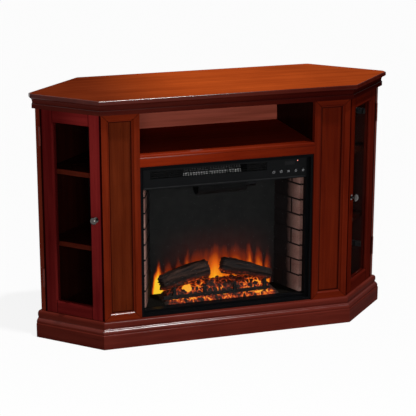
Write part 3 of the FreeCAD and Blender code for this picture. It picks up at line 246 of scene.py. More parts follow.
# Upward share of a face's direction from which it counts as tilted, and from which as level
TILTED = 0.3
FLAT = 0.97
# Share of a face's direction from which it counts as looking that way
LOOKING = 0.5
# Sideways share of a face's direction, at the front and on a cant
CANT_TURN = (0.2, 0.5)
# Backward share of a face's direction, at the sides and behind
BACK_TURN = (0.0, 0.1)

# Roughness of the lacquer, least and most
LACQUER = (0.16, 0.25)
# Specular levels of the lacquer, at the left and right where there are two, and the X where they change
SLAB_EDGE_SHINE = (0.12, 0.02)
SLAB_EDGE_SPAN = (-0.3, 0.3)
SLAB_ROUND_SHINE = (0.6, 0.03)
SLAB_ROUND_SPAN = (-0.3, 0.14)
MOULDING_FLAT_SPAN = (-0.36, 0.3)
ROUND_SPAN = (-0.36, 0.16)
CHAMFER_SHINE = (0.38, 0.03)
BEAD_SHINE = (1.0, 0.02)
BEAD_SPAN = (-0.3, 0.02)
FRAME_SHINE = 0.015
RAIL_SHINE = 0.012

# Where painted shade darkens the slab's ends, along X, and by how much
SLAB_LEFT_END = (-0.08, -0.43)
SLAB_LEFT_PAINTED_SHADE = 0.72
SLAB_RIGHT_END = (0.15, 0.6)
SLAB_RIGHT_PAINTED_SHADE = 0.24
# Where painted shade turns boards darker and redder towards the right, along X, and by how much
PAINTED_SHADE_SPAN = (-0.2, 0.34)
PAINTED_SHADE_SHARE = 0.8
# Share of the darker stain on the cants of the base, painted shade
CANT_PAINTED_SHADE = 0.6

# Radius of the fine bead under the nose of the shelf, and how far it lies below the top of the rail
RAIL_BEAD = 0.002
BEAD_DROP = 0.0095
# Heights of the base's round, and the share of lacquer left on its other rounds
BASE_ROUND = (0.0485, 0.065)
WORN = 0.15

# Dark lines in joints, and painted shade along a frame's inner edge and painted shadow along a door's
# upright edges: distances from the joint or edge at which they begin and are full
MITRE_LINE = (0.0014, 0.0004)
CORNER_PAINTED_SHADE = (0.0045, 0.0015)
COPE_LINE = (0.001, 0.0003)
DOOR_EDGE_PAINTED_SHADOW = (0.005, 0.002)
# How far a door's painted light runs along its top rail, and the heights between which it grows on the stile
LIT_RAIL = 0.085
LIT_STILE = (0.12, 0.48)

# How often marks repeat along X, Y and Z, in a metre, and how much finer than the grain its pores are
GRAIN = {"upright": (62.0, 62.0, 2.6), "level": (2.6, 2.6, 62.0), "flat": (2.2, 48.0, 48.0)}
PORES = (5.0, 5.0, 5.0)
BRUSH = (300.0, 300.0, 20.0)
FLECKS = (90.0, 90.0, 30.0)
LICKS = (30.0, 1.0, 11.0)
WISPS = (110.0, 1.0, 14.0)
BARK_GRAIN = (60.0, 200.0, 200.0)
# Depths of the relief
GRAIN_DEPTH = 0.00025
BRUSH_DEPTH = 0.0001
FIBRE_DEPTH = 0.0002
BRICK_DEPTH = 0.0012
CHAR_DEPTH = 0.0012
PANE_DEPTH = 0.0004


def wood(name, stain, grain="upright", rails=None, shine=0.0, other=None, glaze_and_shade=None, bead=None):
    """Lacquered cherry. rails masks where the grain lies level in a frame; shine is a level or makes one;
    other is a second stain and its mask, used in every call here for painted light or painted shade; the
    glaze mask marks the dark finish left in joints, and painted shade along a frame's inner edge and a
    door's upright edges; bead is the height and the radius of a fine bead along the piece."""
    s = Surface(name)
    vector, x, _, z = s.place()
    fine = s.scaled(vector, GRAIN[grain])
    if rails:
        fine = s.blend_vector(rails(s, x, z), fine, s.scaled(vector, GRAIN["level"]))
    figure = s.noise(fine, 1.0, 5.0, 0.62, 0.35)
    pores = s.noise(s.scaled(fine, PORES), 1.0, 3.0, 0.7)
    cloud = s.noise(vector, 4.5, 3.0, 0.5)
    tone = s.math("ADD", s.times(figure, 0.62), s.times(cloud, 0.38))

    def stained(dark, light):
        middle = tuple((a + b) / 2.0 for a, b in zip(dark, light))
        colour = s.ramp(tone, [(0.34, dark), (0.5, middle), (0.66, light)])
        return s.blend(s.fade(pores, 0.6, 0.72, 0.0, 0.45), colour, shaded(dark, 0.45))

    colour = stained(*stain)
    if other:
        second, mask = other
        colour = s.blend(mask(s, x, z), colour, stained(*second))
    if glaze_and_shade:
        colour = s.blend(glaze_and_shade(s, x, z), colour, shaded(stain[0], 0.18))
    if callable(shine):
        shine = shine(s, x, z)
    gloss = s.fade(s.noise(vector, 14.0, 2.0), 0.3, 0.7, *LACQUER)
    height = s.math("ADD", figure, s.times(pores, 0.35))
    normal = s.bump(height, GRAIN_DEPTH, 0.35)
    if bead:
        level, radius = bead
        across = s.math("DIVIDE", s.minus(z, level), radius)
        crest = s.math("SQRT", s.math("SUBTRACT", 1.0, s.times(across, across), clamp=True))
        normal = s.node("Bump", {"Height": crest, "Distance": radius, "Normal": normal}).outputs[0]
    return s.principled(Base_Color=colour, Roughness=gloss, Specular_IOR_Level=shine, Normal=normal)


def slab_painted_shade(s, x, z):
    """Painted shade on the slab's edges, and on its ends by degrees."""
    left = s.fade(x, *SLAB_LEFT_END, 0.0, SLAB_LEFT_PAINTED_SHADE)
    right = s.fade(x, *SLAB_RIGHT_END, 0.0, SLAB_RIGHT_PAINTED_SHADE)
    return s.larger(s.below(s.facing()[2], FLAT), s.math("ADD", left, right))


def rounded(s, facing):
    """The faces that look part of the way up: beads, rounds and chamfers."""
    return s.times(s.above(facing[2], TILTED), s.below(facing[2], FLAT))


def slab_shine(s, x, z):
    """Lacquer on the slab's edges, thickest on the round of the front at the left, none on the right cant
    and at the back."""
    facing = s.facing()
    edge = s.times(s.below(facing[2], FLAT), s.fade(x, *SLAB_EDGE_SPAN, *SLAB_EDGE_SHINE))
    forward = s.times(rounded(s, facing), s.math("COMPARE", facing[0], 0.0, TILTED))
    front = s.times(forward, s.fade(x, *SLAB_ROUND_SPAN, *SLAB_ROUND_SHINE))
    right = s.fade(facing[0], *CANT_TURN, 1.0, 0.0)
    back = s.fade(facing[1], *BACK_TURN, 1.0, 0.0)
    return s.times(s.larger(edge, front), s.times(right, back))


def cant_shade_mask(s, x, z):
    """Painted shade on the faces of the two cants."""
    return s.fade(s.math("ABSOLUTE", s.facing()[0]), *CANT_TURN, 0.0, CANT_PAINTED_SHADE)


def moulding_shine(flats, rounds, cants, band=None):
    """The lacquer of a moulding at its left and right, thicker on beads and rounds, and its shares on the
    two cants. With a band, the rounds outside those heights have little."""
    def mask(s, x, z):
        facing = s.facing()
        flat = s.fade(x, *MOULDING_FLAT_SPAN, *flats)
        bead = s.times(rounded(s, facing), s.fade(x, *ROUND_SPAN, *rounds))
        if band:
            inside = s.math("COMPARE", z, (band[0] + band[1]) / 2.0, (band[1] - band[0]) / 2.0)
            bead = s.times(bead, s.times_plus(inside, 1.0 - WORN, WORN))
        left = s.fade(s.times(facing[0], -1.0), *CANT_TURN, 1.0, cants[0])
        right = s.fade(facing[0], *CANT_TURN, 1.0, cants[1])
        return s.times(s.larger(flat, bead), s.times(left, right))
    return mask


def frame_shine(s, x, z):
    """Lacquer of the pilasters, thick on the level chamfers at the left."""
    chamfer = s.times(rounded(s, s.facing()), s.fade(x, *ROUND_SPAN, *CHAMFER_SHINE))
    return s.larger(chamfer, FRAME_SHINE)


def rail_shine(level):
    """Lacquer of the shelf's rail, thick on its bead at the left."""
    def mask(s, x, z):
        bead = s.times(s.math("COMPARE", z, level, RAIL_BEAD), s.fade(x, *BEAD_SPAN, *BEAD_SHINE))
        return s.larger(bead, RAIL_SHINE)
    return mask


def right_painted_shade(s, x, z):
    """Painted shade at the right, by degrees: a darker, redder stain."""
    return s.fade(x, *PAINTED_SHADE_SPAN, 0.0, PAINTED_SHADE_SHARE)


def inner_face_shade(s, x, z):
    """The faces of the side panels that look into the cabinet, darkened as painted shade."""
    outward = s.times(s.facing()[0], s.math("SIGN", x))
    return s.below(outward, -LOOKING)


def from_edges(s, low, high, x, z):
    """How far in a point lies from the nearest upright and the nearest level edge of a frame."""
    away = s.math("ABSOLUTE", x)
    across = s.math("MINIMUM", s.minus(away, low.x), s.minus(high.x, away))
    along = s.math("MINIMUM", s.minus(z, low.z), s.minus(high.z, z))
    return across, along


def mitred(low, high, inner):
    """Masks of a mitred frame in a node's box: its rails, and thin dark lines on the mitres with soft
    painted shade round the inner edge."""
    def rails(s, x, z):
        return s.above(*from_edges(s, low, high, x, z))

    def glaze_and_shade(s, x, z):
        across, along = from_edges(s, low, high, x, z)
        joint = s.fade(s.apart(across, along), *MITRE_LINE)
        # Painted shade round the frame's inner edge, where the panel is sunk
        start, end = CORNER_PAINTED_SHADE
        corner_shade = s.fade(s.math("MINIMUM", across, along), inner - start, inner - end, 0.0, 0.9)
        return s.larger(joint, corner_shade)
    return {"rails": rails, "glaze_and_shade": glaze_and_shade}


def coped(low, high, stile, rail):
    """Masks of a canted door: the rails between its stiles, thin dark lines where they meet, and a painted
    shadow along its upright edges."""
    def rails(s, x, z):
        across, along = from_edges(s, low, high, x, z)
        return s.times(s.above(across, stile), s.below(along, rail))

    def glaze_and_shade(s, x, z):
        across, along = from_edges(s, low, high, x, z)
        joint = s.fade(s.apart(across, stile), *COPE_LINE)
        # Painted shadow along the door's upright edges
        edge = s.fade(across, *DOOR_EDGE_PAINTED_SHADOW)
        return s.larger(edge, s.times(joint, s.below(along, rail)))
    return {"rails": rails, "glaze_and_shade": glaze_and_shade}


def painted_light_edges(s, x, z):
    """The front edges of the shelves, lightened as painted light."""
    return s.below(s.facing()[1], -LOOKING)


def lit_stile(near, top):
    """Painted light on the stile of a door that lies nearer the middle than near, less towards its foot, and
    on the top rail beside it by degrees."""
    def mask(s, x, z):
        away = s.math("ABSOLUTE", x)
        rail = s.times(s.above(z, top), s.fade(away, near + LIT_RAIL, near, 0.0, 0.8))
        stile = s.times(s.below(away, near), s.fade(z, *LIT_STILE, 0.45, 1.0))
        return s.larger(stile, rail)
    return mask


def brush_marks(s, vector):
    return s.noise(s.scaled(vector, BRUSH), 1.0, 3.0, 0.6)


def brushed_metal(s, colour, marks, smooth, rough):
    """Metal with its roughness between two values by the marks."""
    gloss = s.fade(marks, 0.25, 0.75, smooth, rough)
    return s.principled(Base_Color=colour, Metallic=1.0, Roughness=gloss,
                        Normal=s.bump(marks, BRUSH_DEPTH, 0.3))


def metal(name, colour, roughness):
    """Brushed metal with slight changes of tone."""
    s = Surface(name)
    vector = s.place()[0]
    cloud = s.noise(vector, 30.0, 3.0)
    shade = s.blend(s.fade(cloud, 0.3, 0.7, 0.0, 0.35), colour, shaded(colour, 0.6))
    return brushed_metal(s, shade, brush_marks(s, vector), roughness * 0.75, roughness * 1.3)


# How far behind the middle of a door's thickness the bronze of the hinges reaches, along Y
BRONZE_REACH = 0.006


def hinge_metal():
    """Plated steel, bronzed dark where the barrels stand outside the doors."""
    s = Surface("hinge_metal")
    vector, x, y, _ = s.place()
    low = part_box("right_door_frame")[0]
    inward = s.minus(y, s.math("ABSOLUTE", x))
    outside = s.below(inward, low.y - low.x + BRONZE_REACH)
    marks = brush_marks(s, vector)
    plate = s.ramp(marks, [(0.3, (0.13, 0.13, 0.135)), (0.7, (0.2, 0.2, 0.205))])
    bronze = s.ramp(marks, [(0.3, (0.06, 0.012, 0.009)), (0.7, (0.095, 0.02, 0.014))])
    return brushed_metal(s, s.blend(outside, plate, bronze), marks, 0.24, 0.4)


# The heater's ribbon: turns, their slant, and two rows of painted glints by middle, half height and
# brightness, all as shares
TURNS_PER_METRE = 150.0
TURN_SLANT = -0.9
LOWER_GLINT = (0.27, 0.26, 1.0)
UPPER_GLINT = (0.66, 0.16, 0.16)


def ribbon(low, high):
    """A wound heating ribbon, dark, with two rows of turns painted pale as a painted glint."""
    s = Surface("heater_ribbon_painted_glint")
    vector, x, _, z = s.place()
    level = s.math("DIVIDE", s.minus(z, low.z), high.z - low.z)

    def row(middle, half, top):
        return s.fade(s.apart(level, middle), half, 0.0, 0.0, top)

    slant = s.times_plus(z, TURN_SLANT, x)
    wound = s.math("FRACT", s.times(slant, TURNS_PER_METRE))
    turn = s.apart(wound, 0.5)
    uneven = s.fade(s.noise(vector, 60.0, 2.0, 0.6), 0.35, 0.6, 0.65, 1.0)
    # Painted glints along two rows of turns
    glint = s.larger(row(*LOWER_GLINT), row(*UPPER_GLINT))
    glint = s.times(s.times(glint, uneven), s.fade(turn, 0.48, 0.22, 0.3, 1.0))
    colour = s.ramp(glint, [(0.0, (0.014, 0.014, 0.015)), (0.7, (0.97, 0.97, 0.96))])
    return s.principled(Base_Color=colour, Roughness=0.22)


def coated(name, colour, roughness, shine=0.3, texture=900.0, depth=0.00006):
    """Paint or moulded plastic: a fine orange-peel texture with slight changes of tone."""
    s = Surface(name)
    vector = s.place()[0]
    peel = s.noise(vector, texture, 2.0, 0.5)
    cloud = s.noise(vector, 22.0, 3.0, 0.6)
    shade = s.blend(s.fade(cloud, 0.3, 0.7, 0.0, 0.5), colour, shaded(colour, 0.7))
    gloss = s.fade(cloud, 0.25, 0.75, roughness - 0.05, roughness + 0.07)
    return s.principled(Base_Color=shade, Roughness=gloss, Specular_IOR_Level=shine,
                        Normal=s.bump(peel, depth, 0.4))


def pane(name, tint, bend):
    """Clear flat glass that reflects by its angle."""
    s = Surface(name)
    waviness = s.bump(s.noise(s.place()[0], 3.0, 2.0), PANE_DEPTH, 0.2)
    clear = s.node("BsdfTransparent", {0: tint}).outputs[0]
    polish = {"Color": (1.0, 1.0, 1.0), "Roughness": 0.02, "Normal": waviness}
    mirror = s.node("BsdfGlossy", polish).outputs[0]
    angle = s.node("Fresnel", {"IOR": bend}).outputs[0]
    return s.finish(s.node("MixShader", {0: angle, 1: clear, 2: mirror}).outputs[0])


def back_board(name, dark, light):
    """Thin board: wood print on the side towards the room, bare brown fibre behind."""
    s = Surface(name)
    vector = s.place()[0]
    behind = s.above(s.facing()[1], LOOKING)
    fibre = s.noise(vector, 420.0, 4.0, 0.7)
    flecks = s.noise(s.scaled(vector, FLECKS), 1.0, 4.0, 0.65)
    bare = s.ramp(s.times_plus(fibre, 0.5, s.times(flecks, 0.5)),
                  [(0.38, (0.13, 0.068, 0.034)), (0.62, (0.24, 0.135, 0.07))])
    print_grain = s.noise(s.scaled(vector, GRAIN["level"]), 1.0, 4.0, 0.6)
    front = s.ramp(print_grain, [(0.35, dark), (0.65, light)])
    colour = s.blend(behind, front, bare)
    rough = s.times_plus(behind, 0.4, 0.4)
    return s.principled(Base_Color=colour, Roughness=rough, Specular_IOR_Level=0.15,
                        Normal=s.bump(fibre, FIBRE_DEPTH, 0.4))


# Bricks: height of a course, width of a joint, and the upright joints as shares of the depth
BRICK_COURSE = 0.053
BRICK_JOINT = 0.006
ODD_JOINTS = (0.32, 0.92)
EVEN_JOINT = 0.62
# Shares of the depth between which painted shade darkens the bricks towards the back
BACK_PAINTED_SHADE = (0.05, 0.62)


def brick(floor, front, rear):
    """Moulded brick with black mortar, darkened towards the back of the chamber as painted shade."""
    s = Surface("fire_brick_painted_shade")
    vector, _, y, z = s.place()
    row = s.math("DIVIDE", s.minus(z, floor), BRICK_COURSE)
    level = s.times(s.math("FRACT", row), BRICK_COURSE)
    bed = s.times(s.below(level, BRICK_JOINT), s.above(row, 0.5))
    odd = s.above(s.math("FRACT", s.times(row, 0.5)), 0.5)
    depth = s.math("DIVIDE", s.minus(y, front), rear - front)
    half = BRICK_JOINT / (rear - front) / 2.0

    def upright(middle):
        return s.below(s.apart(depth, middle), half)

    odd_joints = s.larger(*(upright(middle) for middle in ODD_JOINTS))
    perpend = s.math("ADD", s.times(odd, odd_joints), s.times(s.minus(1.0, odd), upright(EVEN_JOINT)))
    mortar = s.math("MAXIMUM", bed, perpend, clamp=True)
    grit = s.noise(vector, 260.0, 4.0, 0.7)
    stain = s.noise(vector, 28.0, 4.0, 0.6)
    clay = s.ramp(s.times_plus(grit, 0.45, s.times(stain, 0.55)),
                  [(0.36, (0.25, 0.116, 0.094)), (0.52, (0.42, 0.22, 0.18)), (0.68, (0.58, 0.36, 0.31))])
    colour = s.blend(mortar, clay, (0.006, 0.005, 0.005))
    # Painted shade, darkening the bricks towards the back
    back_shade = s.fade(s.times_plus(stain, 0.25, depth), *BACK_PAINTED_SHADE, smooth=False)
    colour = s.blend(back_shade, colour, (0.006, 0.004, 0.004))
    height = s.minus(s.times(grit, 0.4), mortar)
    return s.principled(Base_Color=colour, Roughness=0.85, Specular_IOR_Level=0.1,
                        Normal=s.bump(height, BRICK_DEPTH, 0.7))


# Each tongue of flame: X and Z of its foot, X and Z of its tip, half its width, and its brightness
TONGUES = (
    (-0.191, 0.085, -0.189, 0.256, 0.021, 3.10),
    (-0.158, 0.115, -0.160, 0.276, 0.024, 0.95),
    (-0.119, 0.130, -0.120, 0.290, 0.020, 0.60),
    (-0.091, 0.130, -0.090, 0.325, 0.013, 0.75),
    (-0.060, 0.140, -0.056, 0.310, 0.036, 0.55),
    (-0.026, 0.140, -0.028, 0.300, 0.030, 0.60),
    (0.008, 0.105, 0.010, 0.325, 0.040, 1.06),
    (0.045, 0.140, 0.043, 0.345, 0.022, 0.50),
    (0.083, 0.140, 0.083, 0.318, 0.036, 0.62),
    (0.112, 0.140, 0.110, 0.300, 0.020, 0.55),
    (0.134, 0.120, 0.131, 0.318, 0.018, 1.12),
    (0.166, 0.115, 0.163, 0.298, 0.018, 1.16),
    (0.195, 0.110, 0.196, 0.282, 0.015, 0.96),
)

# How far licks and wisps push the flames about
FLAME_SWAY = 0.034
FLAME_LIFT = 0.05
# How softly the tongues join, and what that adds where there is no flame
TONGUE_BLEND = 0.12
BLEND_FLOOR = 0.09
# The red haze: its middle along X, its reach to each side and up, and its strength
HAZE_MIDDLE = 0.01
HAZE_REACH = (0.24, 0.03)
HAZE_HEIGHT = (0.35, 0.17)
HAZE = 0.27
FLAME_COLOURS = (
    (0.0, (0.0, 0.0, 0.0)),
    (0.16, (0.022, 0.0015, 0.0005)),
    (0.34, (0.19, 0.017, 0.002)),
    (0.58, (0.76, 0.12, 0.007)),
    (0.82, (1.0, 0.34, 0.012)),
    (1.0, (1.0, 0.6, 0.03)),
)


def flame_picture():
    """The smoked screen with the tongues that the lamps behind it throw."""
    s = Surface("flame_screen_face")
    vector, x, _, z = s.place()
    lick = s.noise(s.scaled(vector, LICKS), 1.0, 3.0, 0.6)
    wisp = s.noise(s.scaled(vector, WISPS), 1.0, 3.0, 0.6)
    warped_x = s.math("ADD", x, s.times(s.minus(lick, 0.5), FLAME_SWAY))
    warped_z = s.math("ADD", z, s.times_plus(wisp, FLAME_LIFT, -FLAME_LIFT / 2.0))
    fire = 0.0
    for x0, z0, x1, z1, half, power in TONGUES:
        rise = s.math("DIVIDE", s.minus(warped_z, z0), z1 - z0, clamp=True)
        middle = s.times_plus(rise, x1 - x0, x0)
        away = s.apart(warped_x, middle)
        reach = s.times_plus(rise, -0.8 * half, half)
        body = s.fade(s.math("DIVIDE", away, reach), 1.9, 0.0)
        top = s.math("POWER", s.minus(1.0, rise), 1.6)
        tongue = s.times(s.times(body, top), power)
        fire = s.math("SMOOTH_MAX", fire, tongue, TONGUE_BLEND)
    fire = s.larger(s.minus(fire, BLEND_FLOOR), 0.0)
    fire = s.times(fire, s.fade(wisp, 0.25, 0.7, 0.66, 1.06))
    spread = s.fade(s.apart(x, HAZE_MIDDLE), *HAZE_REACH)
    haze = s.times(s.fade(warped_z, *HAZE_HEIGHT), spread)
    glow = s.times_plus(haze, HAZE, fire)
    glow = s.times(glow, s.below(s.facing()[1], -LOOKING))
    colour = s.ramp(glow, FLAME_COLOURS)
    dust = s.noise(vector, 35.0, 3.0)
    base = s.blend(s.fade(dust, 0.3, 0.7), (0.0125, 0.0125, 0.0125), (0.016, 0.016, 0.0155))
    base = s.blend(s.fade(glow, 0.15, 0.6), base, (0.005, 0.002, 0.001))
    return s.principled(Base_Color=base, Roughness=0.5, Specular_IOR_Level=0.04,
                        Emission_Color=colour, Emission_Strength=1.0)


# The right log is darker: X between which its shade sets in
DARKER_LOG = (-0.02, 0.05)


def charred_bark():
    """Grey-brown bark with ash on its ridges and embers in the cracks underneath."""
    s = Surface("charred_bark")
    vector, x = s.place()[:2]
    heat = s.node("Attribute", attribute_name="ember").outputs["Fac"]
    ridge = s.node("Attribute", attribute_name="ridge").outputs["Fac"]
    grain = s.noise(s.scaled(vector, BARK_GRAIN), 1.0, 5.0, 0.7)
    tone = s.times_plus(ridge, 0.65, s.times(grain, 0.35))
    tone = s.times(tone, s.fade(x, *DARKER_LOG, 1.0, 0.8))
    colour = s.ramp(tone, [(0.25, (0.003, 0.0015, 0.0013)), (0.5, (0.013, 0.006, 0.004)),
                           (0.75, (0.034, 0.015, 0.01)), (0.95, (0.066, 0.034, 0.025))])
    spark = s.noise(vector, 120.0, 3.0, 0.7)
    glow = s.times(heat, s.fade(spark, 0.4, 0.62))
    light = s.ramp(glow, [(0.0, (0.0, 0.0, 0.0)), (0.25, (0.16, 0.012, 0.002)),
                          (0.6, (0.85, 0.12, 0.008)), (1.0, (1.0, 0.45, 0.04))])
    return s.principled(Base_Color=colour, Roughness=0.8, Specular_IOR_Level=0.2,
                        Emission_Color=light, Emission_Strength=1.0,
                        Normal=s.bump(grain, CHAR_DEPTH, 0.7))


def coals():
    """Dark lumps over a glowing bed; heat is kept on the mesh, high in the hollows."""
    s = Surface("glowing_coals")
    vector = s.place()[0]
    heat = s.node("Attribute", attribute_name="ember").outputs["Fac"]
    patch = s.noise(vector, 26.0, 3.0, 0.6)
    spark = s.noise(vector, 150.0, 4.0, 0.7)
    glow = s.times(heat, s.fade(patch, 0.36, 0.62, 0.25, 1.1))
    glow = s.times(glow, s.fade(spark, 0.3, 0.6, 0.5, 1.1))
    light = s.ramp(glow, [(0.0, (0.0, 0.0, 0.0)), (0.2, (0.035, 0.0025, 0.0006)),
                          (0.46, (0.36, 0.032, 0.003)), (0.76, (0.92, 0.15, 0.009)),
                          (1.0, (1.0, 0.42, 0.03))])
    ash = s.ramp(spark, [(0.35, (0.008, 0.006, 0.005)), (0.65, (0.026, 0.017, 0.014))])
    return s.principled(Base_Color=ash, Roughness=0.85, Specular_IOR_Level=0.15,
                        Emission_Color=light, Emission_Strength=1.0,
                        Normal=s.bump(spark, CHAR_DEPTH, 0.6))


def red_lens():
    """The lit plastic of the indicator."""
    s = Surface("indicator_red")
    plastic = (0.02, 0.004, 0.003)
    speck = s.noise(s.place()[0], 1500.0, 2.0)
    shade = s.blend(s.fade(speck, 0.3, 0.7, 0.0, 0.3), plastic, shaded(plastic, 0.6))
    return s.principled(Base_Color=shade, Roughness=0.25, Emission_Color=(1.0, 0.32, 0.26),
                        Emission_Strength=1.6)


def board_laminate():
    """Green laminate with paler runs."""
    s = Surface("circuit_laminate")
    vector = s.place()[0]
    trace = s.below(s.cells(vector, 90.0), 0.06)
    weave = s.noise(vector, 600.0, 2.0)
    green = s.blend(s.fade(weave, 0.3, 0.7), (0.01, 0.07, 0.03), (0.016, 0.1, 0.042))
    colour = s.blend(trace, green, (0.022, 0.15, 0.06))
    return s.principled(Base_Color=colour, Roughness=0.4)


# Lacquer of the mouldings at the left and right: levels on flats and on rounds, and shares on the cants
CROWN_LACQUER = ((0.02, 0.0), (0.3, 0.06), (1.0, 0.15))
BASE_LACQUER = ((0.03, 0.016), (0.3, 0.06), (0.35, 0.12))
PLINTH_SHINE = 0.03
PANEL_SHINE = 0.012
SIDE_SHINE = 0.01
INSIDE_SHINE = 0.004

# Prints on the thin boards behind, dark and light grain; the bays' print is darkened to near black as
# painted shade
MEDIA_PRINT = (0.32, 0.066, 0.038), (0.48, 0.104, 0.064)
BAY_PAINTED_SHADE_PRINT = (0.0035, 0.001, 0.0008), (0.0065, 0.0016, 0.0012)


def dress_face():
    """Top, mouldings, rail and pilasters."""
    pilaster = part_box("right_pilaster_frame")
    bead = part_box("shelf_rail")[1].z - BEAD_DROP
    # Painted shade: a darker, redder stain towards the right
    right_shade = (RED_PAINTED_LIGHT_AND_SHADE, right_painted_shade)
    # The top's edges and ends take the crown's darker stain as painted shade
    wear(wood("cherry_top", TOP_STAIN, "flat", shine=slab_shine, other=(CROWN_PAINTED_SHADE_STAIN, slab_painted_shade)),
         "top_panel")
    wear(wood("cherry_shelf", SHELF_STAIN, "flat"), "media_shelf")
    wear(wood("cherry_rail", RAIL_STAIN, "level", shine=rail_shine(bead), other=right_shade,
              bead=(bead, RAIL_BEAD)), "shelf_rail")
    wear(wood("cherry_crown_painted_shade", CROWN_PAINTED_SHADE_STAIN, "level", shine=moulding_shine(*CROWN_LACQUER),
              other=(CROWN_RIGHT_PAINTED_SHADE, right_painted_shade)), "crown_moulding")
    # The base's cants take the crown's darker stain as painted shade
    wear(wood("cherry_base", BASE_STAIN, "level", shine=moulding_shine(*BASE_LACQUER, BASE_ROUND),
              other=(CROWN_PAINTED_SHADE_STAIN, cant_shade_mask)), "base_moulding")
    wear(wood("cherry_plinth", BASE_STAIN, "level", shine=PLINTH_SHINE), "plinth_rails")
    wear(wood("cherry_panel", PANEL_STAIN, shine=PANEL_SHINE, other=right_shade), "pilaster_panels")
    wear(wood("cherry_pilaster", PILASTER_STAIN, shine=frame_shine, other=right_shade,
              **mitred(*pilaster, PILASTER_STILE)), "left_pilaster_frame", "right_pilaster_frame")


def dress_doors():
    """Door frames, the right one darkened as painted shade."""
    low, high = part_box("right_door_frame")
    joints = coped(low + Vector((DOOR_LEAN, 0.0, 0.0)), high, DOOR_STILE, DOOR_RAIL)
    lit = lit_stile(low.x + DOOR_LEAN + DOOR_STILE, high.z - DOOR_RAIL)
    # Each door: its stain, and the stain of the painted light on its near stile
    for side, stain, painted_light in (("left", DOOR_STAIN, STILE_PAINTED_LIGHT), ("right", RIGHT_DOOR_PAINTED_SHADE, RED_PAINTED_LIGHT_AND_SHADE)):
        wear(wood("cherry_" + side + "_door", stain, other=(painted_light, lit), **joints), side + "_door_frame")


def dress_inside():
    """Sides, partitions, deck, shelves and backs."""
    # Painted shade on the faces of the sides that look into the cabinet
    wear(wood("cherry_side", SIDE_STAIN, shine=SIDE_SHINE, other=(INNER_PAINTED_SHADE, inner_face_shade)),
         "left_side_panel", "right_side_panel")
    # Painted shade: the partitions in a nearly black stain
    wear(wood("cherry_inside_painted_shade", PARTITION_PAINTED_SHADE, shine=INSIDE_SHINE), "left_partition", "right_partition")
    # Painted shade: deck and shelves in a near-black stain inside the cabinet
    wear(wood("cherry_deck_painted_shade", INNER_PAINTED_SHADE, "flat", shine=INSIDE_SHINE), "bottom_deck", "right_shelves")
    # Painted light on the front edges of the left shelves
    wear(wood("cherry_bay_shelf", INNER_PAINTED_SHADE, "flat", shine=INSIDE_SHINE,
              other=(SHELF_EDGE_PAINTED_LIGHT, painted_light_edges)), "left_shelves")
    wear(back_board("media_back_board", *MEDIA_PRINT), "media_back_panel")
    # The bays' back boards in a near-black print: painted shade
    wear(back_board("bay_back_board_painted_shade", *BAY_PAINTED_SHADE_PRINT), "side_back_panels")


def dress_fittings():
    """Hinges, knobs, glass, catches and pins."""
    wear(hinge_metal(), "hinge_arms", "hinge_pins", "left_door_hinge_leaves", "right_door_hinge_leaves",
         "left_door_strike", "right_door_strike", "shelf_pins")
    wear(metal("dark_pewter", (0.08, 0.074, 0.07), 0.11), "left_door_knob", "right_door_knob")
    wear(pane("door_pane", (0.9, 0.91, 0.91), 1.01), "left_door_glass", "right_door_glass")
    wear(coated("catch_plastic", (0.03, 0.016, 0.012), 0.5), "magnetic_catches")


def dress_fire():
    """The electric fire and its controls."""
    wear(coated("satin_black_steel", (0.0034, 0.0036, 0.0042), 0.36, shine=0.02), "firebox_surround")
    wear(coated("plain_black_sheet", (0.004, 0.004, 0.0042), 0.55, shine=0.05),
         "firebox_case", "blower_housing", "blower_wheel", "spinner_brackets")
    wear(coated("fascia_plastic", (0.0078, 0.0082, 0.0088), 0.34, shine=0.03, texture=700.0),
         "control_fascia", "outlet_grille")
    wear(coated("hearth_black", (0.0085, 0.0075, 0.0062), 0.8, shine=0.0), "hearth_floor")
    wear(coated("button_plastic", (0.005, 0.005, 0.0056), 0.25, shine=0.1),
         *(name + "_button" for name in symbols()))
    wear(pane("fire_pane", (0.96, 0.965, 0.965), 1.015), "fire_glass")
    low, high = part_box("brick_panels")
    wear(brick(low.z, low.y, high.y), "brick_panels")
    wear(flame_picture(), "flame_screen")
    wear(coated("cast_iron", (0.0065, 0.0062, 0.006), 0.7, shine=0.2, texture=300.0, depth=0.0004),
         "fire_grate")
    wear(ribbon(*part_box("heating_element")), "heating_element")
    wear(metal("motor_can", (0.011, 0.011, 0.012), 0.45), "blower_motor", "spinner_motor")
    wear(metal("bright_vanes", (0.8, 0.8, 0.81), 0.15), "flame_spinner")
    wear(board_laminate(), "control_board", "lamp_board")
    wear(coated("black_rubber", (0.01, 0.01, 0.01), 0.7, shine=0.25, texture=500.0), "cord_gland")


def add(name, data):
    """A new object in the scene."""
    made = bpy.data.objects.new(name, data)
    SCENE.collection.objects.link(made)
    return made


def new_piece(name, data, material, body):
    """A piece of the visual that rides on a body."""
    piece = add(name, data)
    data.materials.append(material)
    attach(piece, body)
    return piece


def mesh_of(name, shape, smooth=True):
    """A mesh of the shape, which is freed."""
    mesh = bpy.data.meshes.new(name)
    shape.to_mesh(mesh)
    shape.free()
    if smooth:
        mesh.polygons.foreach_set("use_smooth", [True] * len(mesh.polygons))
    return mesh


def store(mesh, name, values):
    """Keep a number on each point of a mesh."""
    mesh.attributes.new(name, "FLOAT", "POINT").data.foreach_set("value", values)


def skin(shape, rows, closed=False):
    """Faces between rows of points; closed rows go all the way round."""
    for first, last in zip(rows, rows[1:]):
        for index in range(len(first) if closed else len(first) - 1):
            after = (index + 1) % len(first)
            shape.faces.new((first[index], first[after], last[after], last[index]))


def clamped(value):
    """The value, kept between zero and one."""
    return min(1.0, max(0.0, value))


